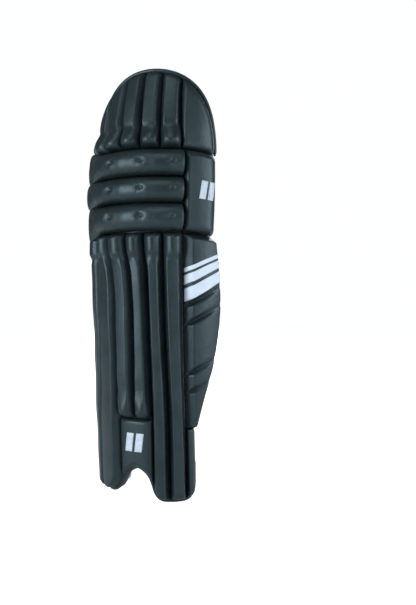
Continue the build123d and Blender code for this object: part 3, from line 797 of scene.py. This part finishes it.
def wingLift(angle, z):
    w = wing
    left = (angle - wingLeft(z)) * 2.0
    right = (wingRight(z) - angle) * 2.0
    s = angle - wingLeft(z)
    ramps = [clamp(left / 14), clamp((z - w["bottom"]) / 6), clamp((w["top"] - z) / 9)]
    fade = 1 - 0.9 * ease(s / max(6.0, wingRight(z) - wingLeft(z) - 3))
    for line in w["lines"]:
        away = (z - line - w["slant"] * s) * 0.88
        ramp = clamp(away / 8) if away > 0 else clamp(-away / 4)
        ramps.append(1 - (1 - ramp) * fade)
    rise = min(ramps)
    lift = w["groove"] + (w["height"] - w["groove"]) * rise
    ends = dome(1 - clamp((z - w["bottom"]) / 5), 2) * dome(1 - clamp((w["top"] - z) / 6), 2)
    edge = dome(1 - clamp(right / 7), 2.2) * ends
    return 4.0 + (lift - 4.0) * (0.12 + 0.88 * edge)


mesh = panelMesh(
    "wingCover", steps(wing["bottom"], wing["top"], 1.9), wingLeft, wingRight,
    lambda u, z, angle: wingLift(angle, z), lambda u, z, angle: 3.3, 40, 0.35,
)  # fmt: skip
addPiece("wingCover", mesh, puCover, "wing", ("wing_cover", "wing_sheet"))

mesh = panelMesh(
    "wingLiningPanel", steps(wing["bottom"], wing["top"], 5.0), wingLeft, wingRight,
    lambda u, z, angle: 3.0,
    lambda u, z, angle: 2.2 - 3.0 * dome(2 * u - 1, 3) * dome(2 * (z - 118) / 308 - 1, 6), 16, 0.6,
)  # fmt: skip
addPiece("wingLiningPanel", mesh, spacerMesh, "wing", ("wing_lining",))

# White stripes sewn across the upper wing, one over another
stripes = {"bands": [(319.5, 20.5), (346.0, 15.0), (365.0, 7.0)], "rise": 1.0, "start": 0.7}
for number, (bottom, tall) in enumerate(stripes["bands"]):
    a = wingLeft(bottom) + stripes["start"]
    b = wingRight(bottom + 33) - 0.5
    climb = stripes["rise"] * (b - a)
    corners = [(a, bottom), (b, bottom + climb), (b, bottom + tall + climb), (a, bottom + tall)]
    mesh = sewnPatch(f"wingStripe{number + 1}", corners, wingLift, 0.9, 2.0)
    stripe = addPiece(f"wingStripe{number + 1}", mesh, puStripe, "wing")
    if number == 0:
        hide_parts("wing_stripes")
print("wing made")


# Plain slanted bars stand where marks were printed
def slantedBars(name, angle, z, width, tall, surface, material, body, count=2, gap=0.35, lean=0.14):
    for n in range(count):
        bar = width / (count + gap * (count - 1))
        left = angle + n * bar * (1 + gap)
        skew = tall * lean / 1.9
        corners = [(left, z), (left + bar, z), (left + bar + skew, z + tall), (left + skew, z + tall)]
        mesh = sewnPatch(f"{name}{n + 1}", corners, surface, 0.5, 2.0, 0.2)
        addPiece(f"{name}{n + 1}", mesh, material, body)


slantedBars(
    "instepMark", -5.0, 82.0, 16.0, 30.0, lambda angle, z: instep["height"] - 0.1, whiteInk, "pad",
)  # fmt: skip
slantedBars(
    "kneeMark", 56.5, 480.0, 12.0, 28.0, kneeSideLift, whiteInk, "pad",
)  # fmt: skip


# Rolled dark piping on every outer edge
piping = {"radius": 3.3}


def edgePiece(name, points, material=puCover, radius=None, body="pad", flatten=1.0, replaced=()):
    mesh = tubeMesh(name, points, radius or piping["radius"], flatten)
    return addPiece(name, mesh, material, body, replaced)


rimPath = []
for share in steps(-1.0, 1.0, 1 / 48):
    rise = math.sin(math.radians(90 * (1 - abs(share))))
    z = padShape["kneeTop"] + 1.0 + (padShape["height"] - padShape["kneeTop"] - 4.2) * rise
    half = padShape["crownHalf"] * (1 - rise ** padShape["crownPower"]) ** (1 / padShape["crownPower"])
    rimPath.append(padPoint(padShape["crownMiddle"] + math.copysign(half, share), 4.2, z))
edgePiece("crownPiping", rimPath, replaced=("top_piping",))
footPath = [padPoint(shinSeam(0, z) - 0.6, 1.0, z) for z in steps(34, 428, 6)[::-1]]
for which in ("innerLobeLeft", "innerLobeRight", "outerLobeLeft", "outerLobeRight"):
    marks = padShape[which][::-1] if which.endswith("Left") else padShape[which]
    outward = 2.2 if which.startswith("inner") else 1.6
    footPath += [padPoint(angle, outward, z) for z, angle in marks if z < 55.5 or which == "innerLobeRight"]
footPath += [padPoint(footEdge("outerLobeRight", z) + 0.2, 1.0, z) for z in steps(36, 60, 6)]
footPath += [padPoint(shinSeam(6, z) + 8.6, 1.0, z) for z in steps(66, 116, 6)]
smoothPath = []
for i in range(len(footPath) - 1):
    before, a, b, after = (footPath[clamp(j, 0, len(footPath) - 1)] for j in (i - 1, i, i + 1, i + 2))
    for t in (0.0, 0.25, 0.5, 0.75):
        squared, cubed = 2 * before - 5 * a + 4 * b - after, 3 * a - before - 3 * b + after
        smoothPath.append(0.5 * (2 * a + (b - before) * t + squared * t**2 + cubed * t**3))
edgePiece("footPiping", smoothPath)
kneeEdge = [padPoint(kneeRolls["start"] - 0.8, 1.0, z) for z in steps(429, 553, 5)]
edgePiece("kneeInnerPiping", kneeEdge)
kneeOuter = [padPoint(kneeSide["right"] + 0.6, 1.0, z) for z in steps(429, 556, 5)]
edgePiece("kneeOuterPiping", kneeOuter)
print("piping made")


# Dark cloth behind the wing's top and bottom ends, sewn to the shin and the knee panel
for name, corners in {
    "wingTopFlap": [(46.2, 414), (75.0, 414), (75.0, 436), (46.2, 436)],
    "wingFootFlap": [(50.5, 106), (57.0, 106), (57.6, 124), (50.5, 124)],
}.items():
    addPiece(name, sewnPatch(name, corners, lambda angle, z: -1.6, 0.8, 3.0), puCover, "pad")


# Gussets across the wing's seam: dark outside, white inside
def gusset(name, material, low, high, leftAt, rightAt, liftLeft, liftRight):
    verts, faces, area, across = [], [], 0.0, 0.0
    levels = steps(low, high, 4.0)
    for z in levels:
        for j in range(9):
            share = j / 8
            angle = leftAt(z) + (rightAt(z) - leftAt(z)) * share
            sag = 0.6 * math.sin(math.pi * share)
            verts.append(padPoint(angle, liftLeft + (liftRight - liftLeft) * share - sag, z))
    for i in range(len(levels) - 1):
        for j in range(8):
            a = i * 9 + j
            faces.append((a, a + 1, a + 10, a + 9))
            area += (verts[a + 1] - verts[a]).length * (verts[a + 9] - verts[a]).length
    mesh = bpy.data.meshes.new(name)
    mesh.from_pydata(verts, [], faces)
    layer = mesh.uv_layers.new(name="panel")
    for loop, uv in zip(layer.data, mesh.loops):
        column, row = uv.vertex_index % 9, uv.vertex_index // 9
        loop.uv = (column * 3.0, row * 4.0)
    piece = addPiece(name, mesh, material, None)
    middle = (low + high) / 2
    padPoint(leftAt(middle), 4, middle)
    padPoint(rightAt(middle), 4, middle)
    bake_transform(piece)


gusset(
    "frontGusset", puCover, 119, 425, lambda z: wingLeft(z) - 3.4, lambda z: wingLeft(z) + 3.2, 1.2, 3.8,
)  # fmt: skip
gusset(
    "rearGusset", spacerMesh, 119, 425,
    lambda z: 45.6, lambda z: wingLeft(z) + 2.5, -12.0, 1.8,
)  # fmt: skip
print("gussets made")


# Rear: mesh bolsters down both sides, a smooth centre panel, a three-part knee cup and the top hat's lining
padHeadings = ("nodes", "left", "right", "low", "high", "thick", "power", "end", "cloth", "fill")
rearPads = {
    "bolsterLeft": (("bolster_left",), -57.0, -17.4, 9.5, 435.8, 26.5, 2.3, 12.0, "mesh", 0.6),
    "bolsterRight": (("bolster_right",), 25.4, 46.0, 4.5, 435.8, 26.5, 2.3, 12.0, "mesh", 0.6),
    "shinCentre": (("shin_centre_pad",), -17.0, 25.0, 135.4, 435.8, 11.5, 4.0, 6.0, "smooth", 0.4),
    "kneeCupLeft": (("knee_cup_left",), -57.0, -20.4, 437.4, 545.6, 28.5, 2.6, 14.0, "mesh", 0.7),
    "kneeCupCentre": (("knee_cup_centre",), -20.0, 24.0, 437.4, 545.6, 20.5, 3.2, 12.0, "smooth", 0.6),
    "kneeCupRight": (("knee_cup_right",), 24.4, 60.0, 437.4, 545.6, 28.5, 2.6, 14.0, "mesh", 0.7),
}
rearPads = {name: dict(zip(padHeadings, row)) for name, row in rearPads.items()}


def rearDepth(pad, u, z):
    ends = dome(1 - clamp((z - pad["low"]) / pad["end"]), 2.2) * dome(1 - clamp((pad["high"] - z) / pad["end"]), 2.2)
    return 1.0 + (pad["thick"] - 1.0) * dome(2 * u - 1, pad["power"]) * ends


for name, pad in rearPads.items():
    first, last = pad["low"] + pad["end"], pad["high"] - pad["end"]
    levels = steps(pad["low"], first, 2.0) + steps(first, last, 4.5)[1:] + steps(last, pad["high"], 2.0)[1:]

    def left(z, pad=pad):
        if z >= 56:
            return pad["left"]
        return max(pad["left"], archAngle(z, 1) + 3.0) if pad["left"] > 0 else footEdge("innerLobeLeft", z) - 2.6

    def right(z, pad=pad):
        if z >= 56:
            return pad["right"]
        if pad["right"] < 0:
            return min(pad["right"], archAngle(z, -1) - 19.0)
        return min(pad["right"], footEdge("outerLobeRight", z) - 4)

    mesh = panelMesh(
        name, levels, left, right,
        lambda u, z, angle: -padShape["boardThickness"],
        lambda u, z, angle, pad=pad: -padShape["boardThickness"] - rearDepth(pad, u, z), 22, 0.6,
    )  # fmt: skip
    give = []
    for level in range(len(levels)):  # each ring is 23 points on the board, held, then 23 on the free face
        ends = ease((min(level, len(levels) - 1 - level) - 2) / 5)
        give += [0.0] * 23 + [ends * ease((11 - abs(11 - j)) / 6) for j in range(23)]
    inflated(mesh, give, coverPressure, 2.2)
    material = spacerMesh if pad["cloth"] == "mesh" else brushedLining
    addPiece(name, mesh, material, "pad", pad["nodes"])

netMesh = archedPanel(
    "instepNet", lambda z: -16.8, lambda z: 24.8, 133.6,
    lambda u, z, low: -padShape["boardThickness"],
    lambda u, z, low: -padShape["boardThickness"] - 0.6 - 3.0 * dome(2 * u - 1, 4) * dome(1 - clamp((z - low) / 8), 2),
)  # fmt: skip
addPiece("instepNet", netMesh, openNet, "pad", ("instep_mesh",))


# Lining of the top hat, rounded over to the rim, with a shallow roll where it meets the knee cup
topLining = {"thick": 10.5, "low": 547.2, "high": 673.5, "sideLimit": 75.0}


def liningLeft(z):
    return crownRim(z + 4)[0] + 0.9


def liningRight(z):
    return min(crownRim(z + 4)[1] - 0.9, topLining["sideLimit"])


def liningDepth(angle, z):
    share = clamp((angle - liningLeft(z)) / (liningRight(z) - liningLeft(z)))
    edge = dome(1 - clamp(rimDistance(angle, min(z, 672)) / 16), 2.0) if z > padShape["kneeTop"] + 4 else 1.0
    side = dome(1 - clamp(min(share, 1 - share) * (liningRight(z) - liningLeft(z)) * 1.6 / 14), 2.0)
    roll = 1.8 * bell(z - 560, 6)
    return 0.8 + (topLining["thick"] + roll - 0.8) * min(edge, side) * dome(1 - clamp((z - topLining["low"]) / 7), 2.0)


mesh = panelMesh(
    "topHatLining", steps(topLining["low"], 650, 4.0) + steps(650, topLining["high"], 2.0)[1:], liningLeft, liningRight,
    lambda u, z, angle: -padShape["boardThickness"],
    lambda u, z, angle: -padShape["boardThickness"] - liningDepth(angle, z), 44, 0.3,
)  # fmt: skip
addPiece("topHatLining", mesh, brushedLining, "pad", ("top_lining",))
print("rear padding made")


def rearTop(angle, z):
    return -padShape["boardThickness"] - liningDepth(angle, z)


def rearCentre(angle, z):
    pad = rearPads["shinCentre"]
    return -padShape["boardThickness"] - rearDepth(pad, clamp((angle - pad["left"]) / (pad["right"] - pad["left"])), z)


def rearPatch(name, corners, surface, material, thickness=0.5):
    mesh = sewnPatch(name, corners, surface, -thickness, 2.5, -0.3)
    return addPiece(name, mesh, material, "pad")


# Printed and taped marks on the lining: plain bars, tapes and dot screens only
for n, angle in enumerate((24.0, 6.5)):
    rearPatch(
        f"liningBar{n + 1}", [(angle, 598), (angle - 12, 598), (angle - 15.5, 641), (angle - 3.5, 641)],
        rearTop, greenInk,
    )  # fmt: skip
for n, (a, b) in enumerate((((62, 566), (-8, 583)), ((70, 580), (30, 590)))):
    rearPatch(
        f"liningTape{n + 1}", [(a[0], a[1]), (b[0], b[1]), (b[0], b[1] + 4.5), (a[0], a[1] + 4.5)],
        rearTop, reflectiveTape,
    )  # fmt: skip
rearPatch("centreTapeLow", [(24, 262), (-16, 196), (-16, 203), (24, 270)], rearCentre, reflectiveTape)
rearPatch("centreTapeHigh", [(24, 372), (-16, 300), (-16, 305), (24, 377)], rearCentre, reflectiveTape)
for n in range(4):
    z = 556 + n * 7
    rearPatch(
        f"liningDash{n + 1}", [(70 - n, z), (58 + n * 3, z + 2), (58 + n * 3, z + 4), (70 - n, z + 2)],
        rearTop, greenInk,
    )  # fmt: skip


# Dot screen on the centre panel: dots shrink as they climb, as in a printed fade
def dotScreen(name, left, right, low, high, surface, material, pitch=6.4):
    verts, faces = [], []
    rows = int((high - low) / pitch)
    for row in range(rows):
        z = low + (row + 0.5) * pitch
        radius = pitch * 0.4 * (1 - row / rows) ** 0.8
        count = int((right - left) * 1.5 / pitch)
        for c in range(count):
            angle = left + (c + (0.5 if row % 2 else 0.0) + 0.25) * (right - left) / count
            center = len(verts)
            verts.append(padPoint(angle, surface(angle, z) - 0.35, z))
            for q in range(10):
                turn = 2 * math.pi * q / 10
                spot = angle + math.cos(turn) * radius / 1.5
                up = z + math.sin(turn) * radius
                verts.append(padPoint(spot, surface(spot, up) - 0.3, up))
            faces += [(center, center + 1 + q, center + 1 + (q + 1) % 10) for q in range(10)]
    mesh = bpy.data.meshes.new(name)
    mesh.from_pydata(verts, [], faces)
    return addPiece(name, mesh, material, "pad")


dotScreen("centreDots", 4.0, 23.0, 150, 214, rearCentre, threadDark)


# Binding tape round the rear edges, and the dark shell's turned edge
def bindingPath(angleAt, depth, low, high):
    return [padPoint(angleAt(z), -depth, z) for z in steps(low, high, 5)]


bindings = {
    "innerBinding": (lambda z: max(-56.6, footEdge("innerLobeLeft", z) - 2.4), 8.0, 6.0, 436.0),
    "cupInnerBinding": (lambda z: -56.6, 8.0, 437.0, 552.0),
    "cupOuterBinding": (lambda z: 60.6, 9.0, 437.0, 546.0),
    "outerBinding": (lambda z: 46.6, 9.0, 4.0, 436.0),
}
for name, (angleAt, depth, low, high) in bindings.items():
    edgePiece(name, bindingPath(angleAt, depth, low, high), whiteTape, 2.0)
# The foam board behind the channels, cut to the foot's outline, with its edge covered in the dark fabric
boardParts = {
    "shinBoardBack": (56.0, 427.7, lambda z: shinSeam(0, z) - 0.6, lambda z: shinSeam(6, z) - 0.4),
    "innerLobeBack": (7.7, 56.0, lambda z: footEdge("innerLobeLeft", z) - 0.6, lambda z: archAngle(z, -1)),
    "outerLobeBack": (
        4.2, 56.0, lambda z: archAngle(z, 1), lambda z: min(shinSeam(6, z), footEdge("outerLobeRight", z)),
    ),
}
for name, (low, high, leftAt, rightAt) in boardParts.items():
    mesh = panelMesh(
        name, steps(low, high, 3.0), leftAt, rightAt, lambda u, z, angle: -0.1, lambda u, z, angle: -8.0, 20, 0.0,
    )  # fmt: skip
    replaced = ("shin_board",) if low > 50 else ()
    addPiece(name, mesh, puCover, "pad", replaced)
seamBacking = panelMesh(
    "kneeSeamBacking", steps(420, 562, 3.0), lambda z: -52.5, lambda z: 46.0,
    lambda u, z, angle: 1.3, lambda u, z, angle: -0.6, 40, 0.0,
)  # fmt: skip
addPiece("kneeSeamBacking", seamBacking, puCover, "pad")


# Straps: marbled webbing bound in white, sewn to an anchor at one end and gripping a landing tab at the other
strapSet = {
    "knee": {"z": 443.0, "width": 32.0, "slope": 0.02, "anchor": (63.0, 77.0, 8.3), "body": "knee_strap",
             "anchorBody": "pad",
             "path": [(85.5, -19), (75, 3), (45, 30), (5, 40), (-35, 24), (-58, -9), (-80, -43), (-103, -57)]},
    "calf": {"z": 318.0, "width": 54.0, "slope": 0.05, "anchor": (68.5, 80.5, -0.4), "body": "calf_strap",
             "anchorBody": "wing",
             "path": [(93.3, -14.8), (79, 5), (47, 31), (5, 41), (-36, 25), (-58, -8), (-79, -42), (-103.5, -57.5)]},
    "ankle": {"z": 143.0, "width": 46.0, "slope": 0.02, "anchor": (46.5, 55.6, 8.3), "body": "ankle_strap",
              "anchorBody": "pad",
              "path": [(67.6, -45.4), (58, -21), (38, 8), (4, 21), (-30, 7), (-52, -20), (-74, -38), (-101, -54)]},
}  # fmt: skip


def strapLength(strap):
    return sum(math.dist(a, b) for a, b in zip(strap["path"], strap["path"][1:]))


def strapPoint(strap, length, offset, up):
    marks = [0.0]
    for a, b in zip(strap["path"], strap["path"][1:]):
        marks.append(marks[-1] + math.dist(a, b))
    xs = [(m, p[0]) for m, p in zip(marks, strap["path"])]
    ys = [(m, p[1]) for m, p in zip(marks, strap["path"])]
    before, after = max(length - 0.5, 0.0), min(length + 0.5, marks[-1])
    alongX = curveValue(after, xs) - curveValue(before, xs)
    alongY = curveValue(after, ys) - curveValue(before, ys)
    pace = math.hypot(alongX, alongY)
    x = padShape["axisX"] + curveValue(length, xs) + offset * alongY / pace
    y = padShape["axisY"] + curveValue(strap["z"], padShape["lean"]) + curveValue(length, ys) - offset * alongX / pace
    return Vector((x, y, strap["z"] + strap["slope"] * length + up)) * 0.001


def strapStrip(name, strap, start, end, inner, outer, halfAt, bulge=0.35, across=12):
    rings = []
    for length in steps(start, end, 3.0):
        half = halfAt(clamp((length - start) / (end - start)))
        ring = []
        for q in range(across + 1):
            s = -1 + 2 * q / across
            ring.append(strapPoint(strap, length, outer - bulge * (1 - dome(s, 5)), s * half))
        for q in range(across + 1):
            s = 1 - 2 * q / across
            ring.append(strapPoint(strap, length, inner + bulge * (1 - dome(s, 5)), s * half))
        rings.append(ring)
    return ringMesh(name, rings)


for name, strap in strapSet.items():
    length, half = strapLength(strap), strap["width"] / 2
    roundEnd = lambda share, h=half: h - 3.0 * (1 - math.sqrt(max(0.0, 1 - clamp((share - 0.95) / 0.05) ** 2)))
    mesh = strapStrip(f"{name}StrapWebbing", strap, 0.0, length, 0.1, 2.7, roundEnd)
    addPiece(f"{name}StrapWebbing", mesh, webbing, strap["body"], (f"{name}_strap",))
    for edge in (-1, 1):
        path = [strapPoint(strap, s, 1.4, edge * (half - 0.6)) for s in steps(1.0, length - 4, 4.0)]
        mesh = tubeMesh(f"{name}StrapBinding{'Low' if edge < 0 else 'High'}", path, 1.7, 1.0, Vector((0, 0, 1)))
        addPiece(mesh.name, mesh, whiteTape, strap["body"])
    mesh = strapStrip(
        f"{name}HookPatch", strap, length - 34, length - 4, -1.55, -0.15, lambda share, h=half: h - 4.5, 0.2,
    )  # fmt: skip
    addPiece(f"{name}HookPatch", mesh, hookTape, strap["body"], (f"{name}_hook",))
    tabHalf = lambda share, h=half: h + 3.0 - 7.0 * (1 - math.sqrt(max(0.0, 1 - clamp((share - 0.7) / 0.3) ** 2)))
    mesh = strapStrip(f"{name}LandingTab", strap, length - 42, length - 1, -4.0, -2.05, tabHalf, 0.3)
    addPiece(f"{name}LandingTab", mesh, whiteTape, "pad", (f"{name}_tab",))
    paths = []
    for s in (length - 8, length - 30):
        paths.append([strapPoint(strap, s, 2.9, up) for up in steps(-half + 5, half - 5, 3)])
    for s in (4.0, 11.0):
        paths.append([strapPoint(strap, s, 2.9, up) for up in steps(-half + 4, half - 4, 3)])
    stitches = stitchMesh(f"{name}StrapStitches", paths, 3.6, 2.4, 0.9)
    addPiece(stitches.name, stitches, threadWhite, strap["body"])
    a, b, depth = strap["anchor"]
    low, high = strap["z"] - half - 2, strap["z"] + half + 2
    mesh = panelMesh(
        f"{name}AnchorPatch", steps(low, high, 3.0), lambda z, a=a: a, lambda z, b=b: b,
        lambda u, z, angle, d=depth: -d - 0.1, lambda u, z, angle, d=depth: -d - 1.9 * dome(2 * u - 1, 8), 8, 0.4,
    )  # fmt: skip
    addPiece(f"{name}AnchorPatch", mesh, whiteTape, strap["anchorBody"], (f"{name}_anchor",))

# White badge wrapped over the calf strap's hinge end, with a screened teal mark
badge = {"start": 4.0, "end": 118.0, "slant": 22.0}
calf = strapSet["calf"]


def badgeStrip(name, start, end, slant, lowUp, highUp, offset, thickness):
    rings = []
    for length in steps(start, end, 3.0):
        ring = []
        for lifted in (True, False):
            for q in range(15):
                s = q / 14 if lifted else 1 - q / 14
                up = lowUp + (highUp - lowUp) * s
                shift = slant * (s - 0.5)
                ring.append(strapPoint(calf, max(1.0, length + shift), offset + (thickness if lifted else 0), up))
        rings.append(ring)
    return ringMesh(name, rings)


for side, offset, thickness in (("Outer", 2.75, 0.9), ("Inner", 0.05, -0.9)):
    mesh = badgeStrip(f"calfBadge{side}", badge["start"] + 12, badge["end"], badge["slant"], -27, 27, offset, thickness)
    addPiece(mesh.name, mesh, puStripe, "calf_strap")
mesh = badgeStrip("calfBadgeMark", 44, 92, 18, -17, 17, 3.7, 0.4)
addPiece(mesh.name, mesh, tealInk, "calf_strap")
paths = []
for up in (-24.5, 24.5):
    shift = badge["slant"] * up / 54
    paths.append([strapPoint(calf, s + shift, 3.85, up) for s in steps(20, badge["end"] - 4, 3)])
paths.append([strapPoint(calf, badge["end"] - 4 + badge["slant"] * up / 54, 3.85, up) for up in steps(-24, 24, 3)])
stitches = stitchMesh("calfBadgeStitches", paths, 4.2, 2.8, 0.9)
addPiece(stitches.name, stitches, threadPale, "calf_strap")
print("straps made")


# Thread lines on the front
def surfacePath(points, surface, above=0.25):
    return [padPoint(angle, surface(angle, z) + above, z) for angle, z in points]


wingSeam = [(wingLeft(z) + 1.4, z) for z in steps(124, 420, 4)]
wingPaths = [surfacePath(wingSeam, wingLift)]
for line in wing["lines"]:
    run = []
    for s in steps(1.5, 34, 1.0):
        z = line + wing["slant"] * s
        angle = wingLeft(z) + s
        if angle < wingRight(z) - 1.0:
            run.append((angle, z + 2.0))
    wingPaths.append(surfacePath(run, wingLift))
addPiece("wingStitches", stitchMesh("wingStitches", wingPaths, 4.6, 3.0, 0.9), threadDark, "wing")
kneePaths = [surfacePath([(kneeSide["left"] + 2.2, z) for z in steps(434, 548, 4)], kneeSideLift)]
kneePaths.append(surfacePath([(a, kneeSide["low"] + 2.5) for a in steps(48, 73, 2.0)], kneeSideLift))
kneePaths.append(surfacePath([(a, kneeSide["high"] - 2.5) for a in steps(48, 73, 2.0)], kneeSideLift))
addPiece("kneeSideStitches", stitchMesh("kneeSideStitches", kneePaths, 4.6, 3.0, 0.9), threadDark, "pad")
grooves = []
for k in range(1, 6):
    low = 136.0 if k == 3 else 12.0
    grooves.append([padPoint(shinSeam(k, z), 2.2, z) for z in steps(low, 424, 5)])
addPiece("shinSeamStitches", stitchMesh("shinSeamStitches", grooves, 4.6, 3.0, 0.9), threadDark, "pad")
print("stitching made")


# Floor, lights and camera
def shape(name, verts, faces):
    mesh = bpy.data.meshes.new(name)
    mesh.from_pydata(verts, [], faces)
    ob = bpy.data.objects.new(name, mesh)
    bpy.context.scene.collection.objects.link(ob)
    for face in mesh.polygons:
        face.use_smooth = True
    return ob


studio = {"sky": 0.12, "floorGlow": 0.8, "floorFill": 0.03}
paper, paperTree, paperShader = startMaterial("paperSweep", 0.9, 0.1)
paperShader.inputs["Base Color"].default_value = linear("#E9EBED")
paperShader.inputs["Emission Color"].default_value = (1.0, 1.0, 1.0, 1.0)
paperSeen = addNode(paperTree, "LightPath").outputs["Is Camera Ray"]
paperGlow = addNode(paperTree, "MapRange", {0: paperSeen, 3: studio["floorFill"], 4: studio["floorGlow"]}).outputs[0]
paperTree.links.new(paperGlow, paperShader.inputs["Emission Strength"])
ring = [(2.6 * math.cos(math.radians(a)), 2.6 * math.sin(math.radians(a)), 0.0) for a in range(0, 360, 6)]
floor = shape("floor", ring, [tuple(range(60))])
floor.data.materials.append(paper)

# softboxes by azimuth from the front, height, distance, width, tallness and power
softboxes = {
    "keyLight": (-20.0, 0.75, 1.9, 0.8, 1.5, 30.0),
    "sideLight": (108.0, 0.75, 1.9, 0.5, 1.4, 19.0),
    "fillLight": (62.0, 0.72, 1.9, 0.6, 1.3, 6.5),
    "topLight": (20.0, 2.3, 1.2, 1.0, 1.0, 8.0),
    "backLight": (200.0, 1.1, 2.2, 1.8, 1.8, 46.0),
}
for name, (azimuth, height, distance, width, tall, power) in softboxes.items():
    lamp = bpy.data.lights.new(name, "AREA")
    lamp.shape = "RECTANGLE"
    lamp.size, lamp.size_y, lamp.energy = width, tall, power
    lamp.color = (0.86, 0.93, 1.0)
    ob = bpy.data.objects.new(name, lamp)
    turn = math.radians(azimuth)
    ob.location = (math.sin(turn) * distance, -math.cos(turn) * distance, height)
    ob.rotation_euler = (Vector((0, 0, 0.36)) - ob.location).to_track_quat("-Z", "Y").to_euler()
    bpy.context.scene.collection.objects.link(ob)

world = bpy.data.worlds.new("studioWorld")
world.use_nodes = True
sky = world.node_tree.nodes["Background"]
seen = addNode(world.node_tree, "LightPath").outputs["Is Camera Ray"]
sky.inputs["Color"].default_value = (0.95, 0.97, 1.0, 1.0)
glow = addNode(world.node_tree, "MapRange", {0: seen, 3: studio["sky"], 4: 1.05}).outputs[0]
world.node_tree.links.new(glow, sky.inputs["Strength"])
bpy.context.scene.world = world
bpy.context.scene.view_settings.view_transform = "Standard"

view = {
    "azimuth": 28.3, "distance": 1310.0, "height": 417.0, "aimHeight": 314.0, "aimRight": 88.0,
    "lens": 48.3, "roll": 0.1,
}  # fmt: skip
turn = math.radians(view["azimuth"])
away = Vector((math.sin(turn), -math.cos(turn), 0))
right = Vector((math.cos(turn), math.sin(turn), 0))
target = right * view["aimRight"] * 0.001 + Vector((0, 0, view["aimHeight"] * 0.001))
spot = away * view["distance"] * 0.001 + right * view["aimRight"] * 0.001 + Vector((0, 0, view["height"] * 0.001))
camera = bpy.data.objects.new("camera", bpy.data.cameras.new("camera"))
camera.data.lens = view["lens"]
camera.location = spot
aim = (target - spot).to_track_quat("-Z", "Y").to_matrix().to_4x4()
camera.rotation_euler = (aim @ Matrix.Rotation(math.radians(view["roll"]), 4, "Z")).to_euler()
bpy.context.scene.collection.objects.link(camera)
bpy.context.scene.camera = camera
